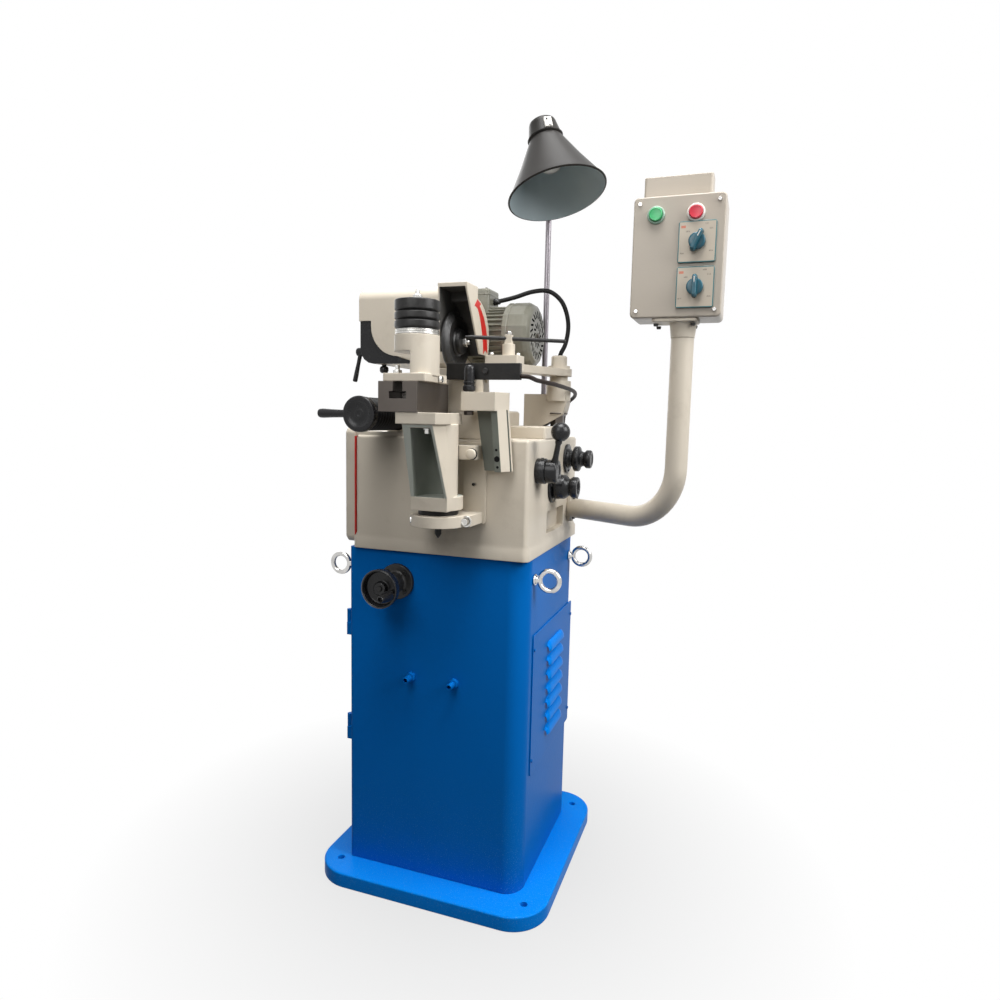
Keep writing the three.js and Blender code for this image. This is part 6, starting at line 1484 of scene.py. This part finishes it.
def make_control_arm():
    radius, (x, y, z) = tube["radius"], tube["start"]
    piece = Piece("arm_tube").tube(arm_route(), radius, steps=48)
    left, front, back, low, high = body_inside.values()
    piece.carved(Piece("wall").block(left, x, front, back, low, high, 0.1, 0.1))
    oval = [(y + flange["half_y"] * math.cos(a), z + flange["half_z"] * math.sin(a)) for a in around(72)]
    face = x + flange["thick"]
    piece.slab("x", oval, x, face, 1.6, soft=4)
    foot, *rise = skirt
    profile = [foot, *[(radius + out, height) for out, height in rise], (0, rise[-1][1])]
    piece.turned("z", profile, tube["corner"][:2], 56)
    half_x, half_y, low, high = (under_plate[key] for key in ("half_x", "half_y", "low", "high"))
    outline = rounded(case["x"] - half_x, case["x"] + half_x, -half_y, half_y, 9, 8)
    piece.slab("z", outline, low, high, 1.2, soft=3)
    out, up = flange["screws_y"], flange["screws_z"]
    turns = (0.9, 2.24, 4.04, 5.38)
    places = [((face, y + out * math.cos(a), z + up * math.sin(a)), (1, 0, 0)) for a in turns]
    across, along = under_plate["screws_x"], under_plate["screws_y"]
    corners = [(dx, dy) for dx in (-across, across) for dy in (-along, along)]
    places += [((case["x"] + dx, dy, low), (0, 0, -1)) for dx, dy in corners]
    with_screws(piece, oxide, places, 4.8, 5, 2.6, finish=1)
    piece.done("stand", "cream_paint", cream, oxide, stands_for=["control_arm"])


make_control_arm()


# The control box: pressed steel in the cream enamel, a screwed lid and a terminal housing on top.
# The lid carries two push buttons in plastic bezels and two rotary switches on printed plates.
pressed = Finish("pressed_enamel", specular_ior_level=0.25)
worn_film = pressed.noise(60)
pressed.mottle(pressed.noise(7, 3.0), (0.40, 0.356, 0.296), (0.45, 0.402, 0.344), 0.26, 0.12, worn_film)
pressed.relief(pressed.noise(190, 2.0), 0.0001, edge=0.0015)
ivory = Finish("ivory_plastic", specular_ior_level=0.5)
ivory.mottle(ivory.noise(60), (0.62, 0.60, 0.56), (0.70, 0.69, 0.65), 0.3)
sage = Finish("sage_plastic", specular_ior_level=0.5)
sage.mottle(sage.noise(60), (0.22, 0.34, 0.27), (0.28, 0.42, 0.33), 0.3)
teal_dark = Finish("teal_dark", specular_ior_level=0.5)
teal_dark.mottle(teal_dark.noise(70), (0.006, 0.045, 0.050), (0.012, 0.065, 0.070), 0.35)
dial = {"x": 445.5, "upper": 1277, "lower": 1197, "half_x": 33.5, "half_z": 36.5, "bore": 11, "thick": 4}
button = {"start_button": -41, "stop_button": 30, "z": 1328, "hole": 9.3}
sheet = {"wall": 2.5, "corner": 6.5, "front": 3.5}
housing = {"left": 340, "right": 466, "front": 5, "back": 50, "tall": 46}
print_rim = {"half_x": 0.0316, "half_z": 0.0346, "beyond": 0.040}
red_mark = {"x": -0.025, "z": 0.02625, "half_x": 0.004, "half_z": 0.00225}
faint_marks = [(0.024, 0.022), (0.025, -0.017), (-0.026, -0.020), (-0.017, 0.018), (0.016, 0.030)]
faint_size = {"half_x": 0.0034, "half_z": 0.0014}


def make_dial_print():
    """The switch plates' face: beige, with a teal line round the edge and faint marks round the knob."""
    face = Finish("dial_print", specular_ior_level=0.45)
    x, _, z = face.split(face.place)
    middles = [(dial["x"] * mm, dial[name] * mm) for name in ("upper", "lower")]
    beside = face.math("ABSOLUTE", x - middles[0][0])
    rims = []
    for _, middle in middles:
        above = face.math("ABSOLUTE", z - middle)
        inside = face.both(above < print_rim["half_z"], beside < print_rim["half_x"])
        rims.append(face.both(above < print_rim["beyond"], 1 - inside))
    colour = face.blend(face.either(*rims), (0.47, 0.41, 0.33), (0.05, 0.16, 0.17))

    def spot_at(middle, place, size):
        across = face.near(x, middle[0] + place[0], size["half_x"])
        return face.both(across, face.near(z, middle[1] + place[1], size["half_z"]))

    for middle in middles:
        red_spot = spot_at(middle, (red_mark["x"], red_mark["z"]), red_mark)
        colour = face.blend(red_spot * 0.75, colour, (0.55, 0.10, 0.04))
        for place in faint_marks:
            broken = face.ramp(face.noise(900), 0.42, 0.5)
            mark = spot_at(middle, place, faint_size) * broken * 0.8
            colour = face.blend(mark, colour, (0.18, 0.15, 0.13))
    face.surface(base_color=colour, roughness=0.3 + face.noise(80) * 0.1)
    return face


def case_outline():
    left, right = case["x"] - case["half"], case["x"] + case["half"]
    return rounded(left, right, case["bottom"], case["top"], case["corner"], 8)


def case_hollow(start, end):
    """The inside of the box or of its lid."""
    wall = sheet["wall"]
    left, right = case["x"] - case["half"] + wall, case["x"] + case["half"] - wall
    outline = rounded(left, right, case["bottom"] + wall, case["top"] - wall, sheet["corner"], 6)
    return Piece("hollow").slab("y", outline, start, end, 0.1)


def make_box():
    seam, back, top = case["seam"], case["back"], case["top"]
    piece = Piece("box_skin").slab("y", case_outline(), seam + 0.3, back, 1.6, soft=3)
    piece.carved(case_hollow(seam - 4, back - sheet["wall"]))
    left, right, front, behind, tall = housing.values()
    piece.slab("z", rounded(left, right, front, behind, 6, 6), top - 1, top + tall, 1.6, soft=3)
    piece.done("stand", "cream_paint", pressed, stands_for=["control_box"])


def switch_plate(z, front):
    """A switch's plate with its hole: printed in front, dark teal at its edges."""
    outline = rounded(
        dial["x"] - dial["half_x"], dial["x"] + dial["half_x"], z - dial["half_z"], z + dial["half_z"], 4, 5,
    )
    near = front - dial["thick"]
    piece = Piece("plate").slab("y", outline, near, front + 0.5, 0.8, soft=2)
    piece.carved(Piece("hole").rod("y", dial["bore"], near - 2, front + 2, (dial["x"], z), 40))
    return piece.repaint(5, lambda p: True).repaint(4, lambda p: p.y < near + 0.3)


def make_lid():
    x, half, front, seam = (case[key] for key in ("x", "half", "front", "seam"))
    edge = [(seam, 0.4), (seam - 0.6, 0), (seam - 12, 0)]
    brow = [(front + 2.2, 0.5), (front + 0.9, 1.4), (front, 3.2)]
    rings = [[(u, y, v) for u, v in drawn_in(case_outline(), inset)] for y, inset in edge + brow]
    lid = Piece("lid_skin").shell(rings)
    lid.carved(case_hollow(front + sheet["front"], seam + 4))
    buttons = [(x + button["start_button"], 2), (x + button["stop_button"], 3)]
    holes = Piece("holes")
    for across, _ in buttons:
        holes.rod("y", button["hole"], front - 2, seam, (across, button["z"]), 40)
    for z in (dial["upper"], dial["lower"]):
        holes.rod("y", dial["bore"], front - 2, seam, (dial["x"], z), 40)
    lid.carved(holes)
    for across, finish in buttons:
        lid.turned("y", [
            (12.3, 0.5), (12.3, -4.4), (12.9, -5), (14.2, -5), (15.4, -4.2), (16, -2.8), (16, 0.5),
            (12.3, 0.5),
        ], (across, button["z"]), 72, finish=finish, start=front)
    for z in (dial["upper"], dial["lower"]):
        lid.add(switch_plate(z, front).plain())
    corners = [(side * (half - 12), z) for side in (-1, 1) for z in (case["bottom"] + 13, case["top"] - 13)]
    places = [((x + dx, front, z), (0, -1, 0)) for dx, z in corners]
    with_screws(lid, zinc, places, 3.8, 2.0, 1.9, 4, finish=1)
    lid.done(
        "stand", "cream_paint", pressed, zinc, sage, ivory, make_dial_print(), teal_dark,
        stands_for=["control_box_lid"],
    )


make_box()
make_lid()


# The button caps and switch knobs: dyed nylon, glossy, each on its own shank.
# A knob is a round base with a tapering grip across it and a white line on the grip.
green = Finish("green_cap", specular_ior_level=0.5)
green.mottle(green.noise(200), (0.030, 0.36, 0.12), (0.050, 0.42, 0.15), 0.3)
red = Finish("red_cap", specular_ior_level=0.5)
red.mottle(red.noise(200), (0.55, 0.020, 0.045), (0.62, 0.030, 0.055), 0.3)
teal = Finish("teal_moulding", specular_ior_level=0.5)
teal.mottle(teal.noise(60), (0.002, 0.065, 0.095), (0.004, 0.085, 0.125), 0.26)
off_lid = 4.3
knob_turns = {"upper": 25, "lower": 0}
knob_grip = [(-8, 5.2, 21), (-14, 4.6, 20.6), (-19, 3.9, 19.4), (-21.4, 3.1, 17.6), (-22, 2.0, 15.4)]


def make_button(name, colour, paint_slot):
    Piece(name + "_cap").turned("y", [
        (0, -9.2), (9.4, -9.4), (10.2, -10), (11.2, -9.7), (12, -8.6), (12, -off_lid), (9, -off_lid),
        (9, 17), (0, 17),
    ], (case["x"] + button[name], button["z"]), 72, start=case["front"]).done(
        name, paint_slot, colour, stands_for=[name],
    )


def make_switch_knob(name):
    back = case["front"] - off_lid
    spin = shift(dial["x"], 0, dial[name]) @ turn(knob_turns[name], "Y")
    knob = Piece(f"switch_{name}").turned("y", [
        (0, -9), (10, -9.6), (13.6, -9), (14.7, -7.6), (15, -6), (15, 0), (10, 0),
        (10, 20 + off_lid), (0, 20 + off_lid),
    ], (0, 0), 64, matrix=spin, start=back)
    rings = []
    for deep, half_wide, half_long in knob_grip:
        outline = rounded(-half_wide, half_wide, -half_long, half_long, half_wide - 0.2, 6)
        rings.append([(u, back + deep, v) for u, v in outline])
    knob.shell(rings, matrix=spin)
    knob.block(-0.8, 0.8, back - 22.3, back - 21.6, 5, 15, 0.2, 0.05, finish=1, matrix=spin)
    knob.done(f"switch_knob_{name}", "teal_knob", teal, ivory, stands_for=[f"switch_knob_{name}"])


make_button("start_button", green, "green_cap")
make_button("stop_button", red, "red_cap")
make_switch_knob("upper")
make_switch_knob("lower")


# The work lamp: a plated rod under a cloudy film, a ball joint, and a spun dark shade that is pale inside.
# A white moulded clip holds the shade's neck, and an opal bulb hangs in it from a black holder.
film_rod = Finish("filmed_rod", metallic=0.65)
wrap = film_rod.streaks((30, 30, 4), 4.0)
film_rod.mottle(wrap, (0.10, 0.085, 0.10), (0.46, 0.43, 0.46), 0.20, 0.25)
film_rod.relief(film_rod.noise(90, 3.0), 0.0004)
lacquer = Finish("shade_lacquer", specular_ior_level=0.12)
brushed = lacquer.streaks((14, 14, 3), 3.0, 0.5)
lacquer.mottle(brushed, (0.012, 0.011, 0.010), (0.026, 0.024, 0.022), 0.30, 0.15)
within = Finish("shade_inside", specular_ior_level=0.3)
within.mottle(within.noise(9), (0.36, 0.44, 0.47), (0.44, 0.52, 0.55), 0.40, 0.1, within.noise(30))
opal = Finish("opal_glass", specular_ior_level=0.5)
opal.mottle(opal.noise(30), (0.75, 0.75, 0.73), (0.82, 0.82, 0.80), 0.2)
reach = {"at": (127, 100), "radius": 6, "low": 914.3, "top": 1494, "ball": 9, "link": 5}
cone = {"rim": 96.5, "neck": 32.5, "crown": 24.5, "tall": 116, "neck_tall": 31.5, "cap": 7, "wall": 2}
tilt = shift(173, -3, 1388) @ turn(-16, "Y") @ turn(-8, "X")
clip_place = shift(12, -20, 131) @ turn(30, "Z")
holder = {"hangs": 44, "radius": 15}
bulb = [
    (0, -60), (9, -59), (16.2, -56), (22, -50), (26, -42), (27, -36), (25.6, -28), (20.2, -18), (15, -10),
    (13, -6), (13, -1), (12, 0), (0, 0),
]


def make_lamp_rod():
    foot, radius, ball = reach["low"], reach["radius"], reach["ball"]
    tall = reach["top"] - foot
    piece = Piece("rod_skin").turned("z", [
        (0, 0), (15, 0), (16, 1), (16, 5), (15, 6.4), (10, 9), (8.4, 12), (8, 15), (radius, 16),
        (radius, tall), (0, tall),
    ], reach["at"], 56, start=foot)
    piece.ball(ball, (*reach["at"], reach["top"]))
    piece.done("stand", "bright_steel", film_rod, stands_for=["lamp_rod"])


def shade_profile(top, crown_top):
    """Up the outside of the shade from its rolled rim, and down the inside."""
    rim, neck, crown, tall, wall = (cone[key] for key in ("rim", "neck", "crown", "tall", "wall"))
    half = neck + (rim - neck) * 0.48
    rolled = [(rim - wall, 0), (rim, 0), (rim + 1.3, 0.9), (rim + 1.5, 2), (rim + 0.6, 3), (rim - 1.5, 4)]
    bead = [(neck + 2.6, tall + 1.6), (neck + 3, tall + 3.4), (neck + 0.6, tall + 5)]
    cap = [
        (crown + 3.6, top - 3), (crown + 3, top), (crown + 1.6, top + 4), (crown - 1.4, crown_top - 0.6),
        (crown - 4, crown_top), (0, crown_top),
    ]
    inner = [
        (0, crown_top - wall), (crown - 4, crown_top - wall), (crown, top), (neck - wall, tall),
        (rim - wall * 2 - 0.6, 4), (rim - wall, 0),
    ]
    return [*rolled, (half, tall * 0.5), (neck, tall), *bead, *cap, *inner]


def paint_inside(shade, top):
    """The pale finish for the shade's faces that look towards its own axis."""
    back = tilt.inverted()
    for face in shade.mesh.faces:
        spot = (back @ face.calc_center_median()) * metre
        normal = back.to_3x3() @ face.normal
        outward = Vector((spot.x, spot.y, 0)).normalized().dot(normal)
        if 1 < spot.z < top and outward < -0.05:
            face.material_index = 1


def make_shade():
    top = cone["tall"] + cone["neck_tall"]
    crown_top = top + cone["cap"]
    shade = Piece("shade_skin").turned("z", shade_profile(top, crown_top), (0, 0), 128, matrix=tilt)
    paint_inside(shade, top)
    size, low, high = holder["radius"], crown_top - holder["hangs"], crown_top - 1.5
    profile = [(0, low), (size - 1, low), (size, low + 1), (size, high), (0, high)]
    shade.turned("z", profile, (0, 0), 48, finish=2, matrix=tilt)
    ball_middle = (*reach["at"], reach["top"])
    neck_side = Vector((0, cone["neck"] * 0.6, cone["tall"] + cone["neck_tall"] * 0.62))
    hold = (tilt @ (neck_side * mm)) * metre
    end = Vector(ball_middle) + Vector((0, 0, reach["ball"] * 0.4))
    shade.tube(smooth_line([hold, (hold + end) / 2, end]), reach["link"], steps=24)
    shade.carved(Piece("cup").ball(reach["ball"] + 0.5, ball_middle))
    clip = tilt @ clip_place
    shade.block(-8, 8, -14, -6, -10, 10, 2.4, 1.2, finish=3, matrix=clip)
    shade.rod("y", 2.2, -14.6, -13.6, (-2, 5), 24, finish=2, matrix=clip)
    shade.rod("y", 3, -15.4, -13.6, (3, -6), 24, finish=4, matrix=clip)
    shade.done(
        "lamp_shade", "shade_paint", lacquer, within, moulding, ivory, zinc, stands_for=["lamp_shade"],
    )
    glass = Piece("bulb_skin").turned("z", bulb, (0, 0), 64, matrix=tilt, start=low - 0.3)
    glass.done("lamp_shade", "white_plate", opal, stands_for=["lamp_bulb"])


make_lamp_rod()
make_shade()


# The two leads, held at both ends: black rubber from the terminal box to the feed post.
# The other, from the guide bar to the body, has a very dark brown sheath.
sheath = Finish("brown_sheath", specular_ior_level=0.15)
sheath.mottle(sheath.noise(90), (0.010, 0.006, 0.005), (0.022, 0.014, 0.011), 0.5)
lead_routes = {
    "motor_lead": [
        (38.2, 22, 1192), (58, 22, 1195), (84, 24, 1201), (118, 28, 1211), (150, 34, 1212), (174, 40, 1195),
        (186, 46, 1170), (190, 50, 1140), (185, 51, 1108), (176, 50, 1088), (173, 50, 1076),
    ],
    "guide_lead": [
        (168.6, -190, 1027), (173, -190, 1027), (182.4, -183, 1026.2), (187.4, -158, 1022.4),
        (190.4, -145, 1021.4), (199, -115, 1019.4), (205, -80, 1017.5), (207.9, -30, 1014.8),
        (208.7, 20, 1012.3), (204, 70, 1008.1), (192.3, 110, 1001), (172.9, 135, 988), (164, 142, 965),
        (161, 143, 940), (160, 143, 914.6),
    ],
}


def make_lead(name, radius, finish):
    route = lead_routes[name]
    made = Piece(name + "_sheath").tube(smooth_line(route), radius, steps=20)
    piece = made.done("stand", "rubber", finish, stands_for=[name])


make_lead("motor_lead", 4.5, cord_rubber)
make_lead("guide_lead", 4.0, sheath)
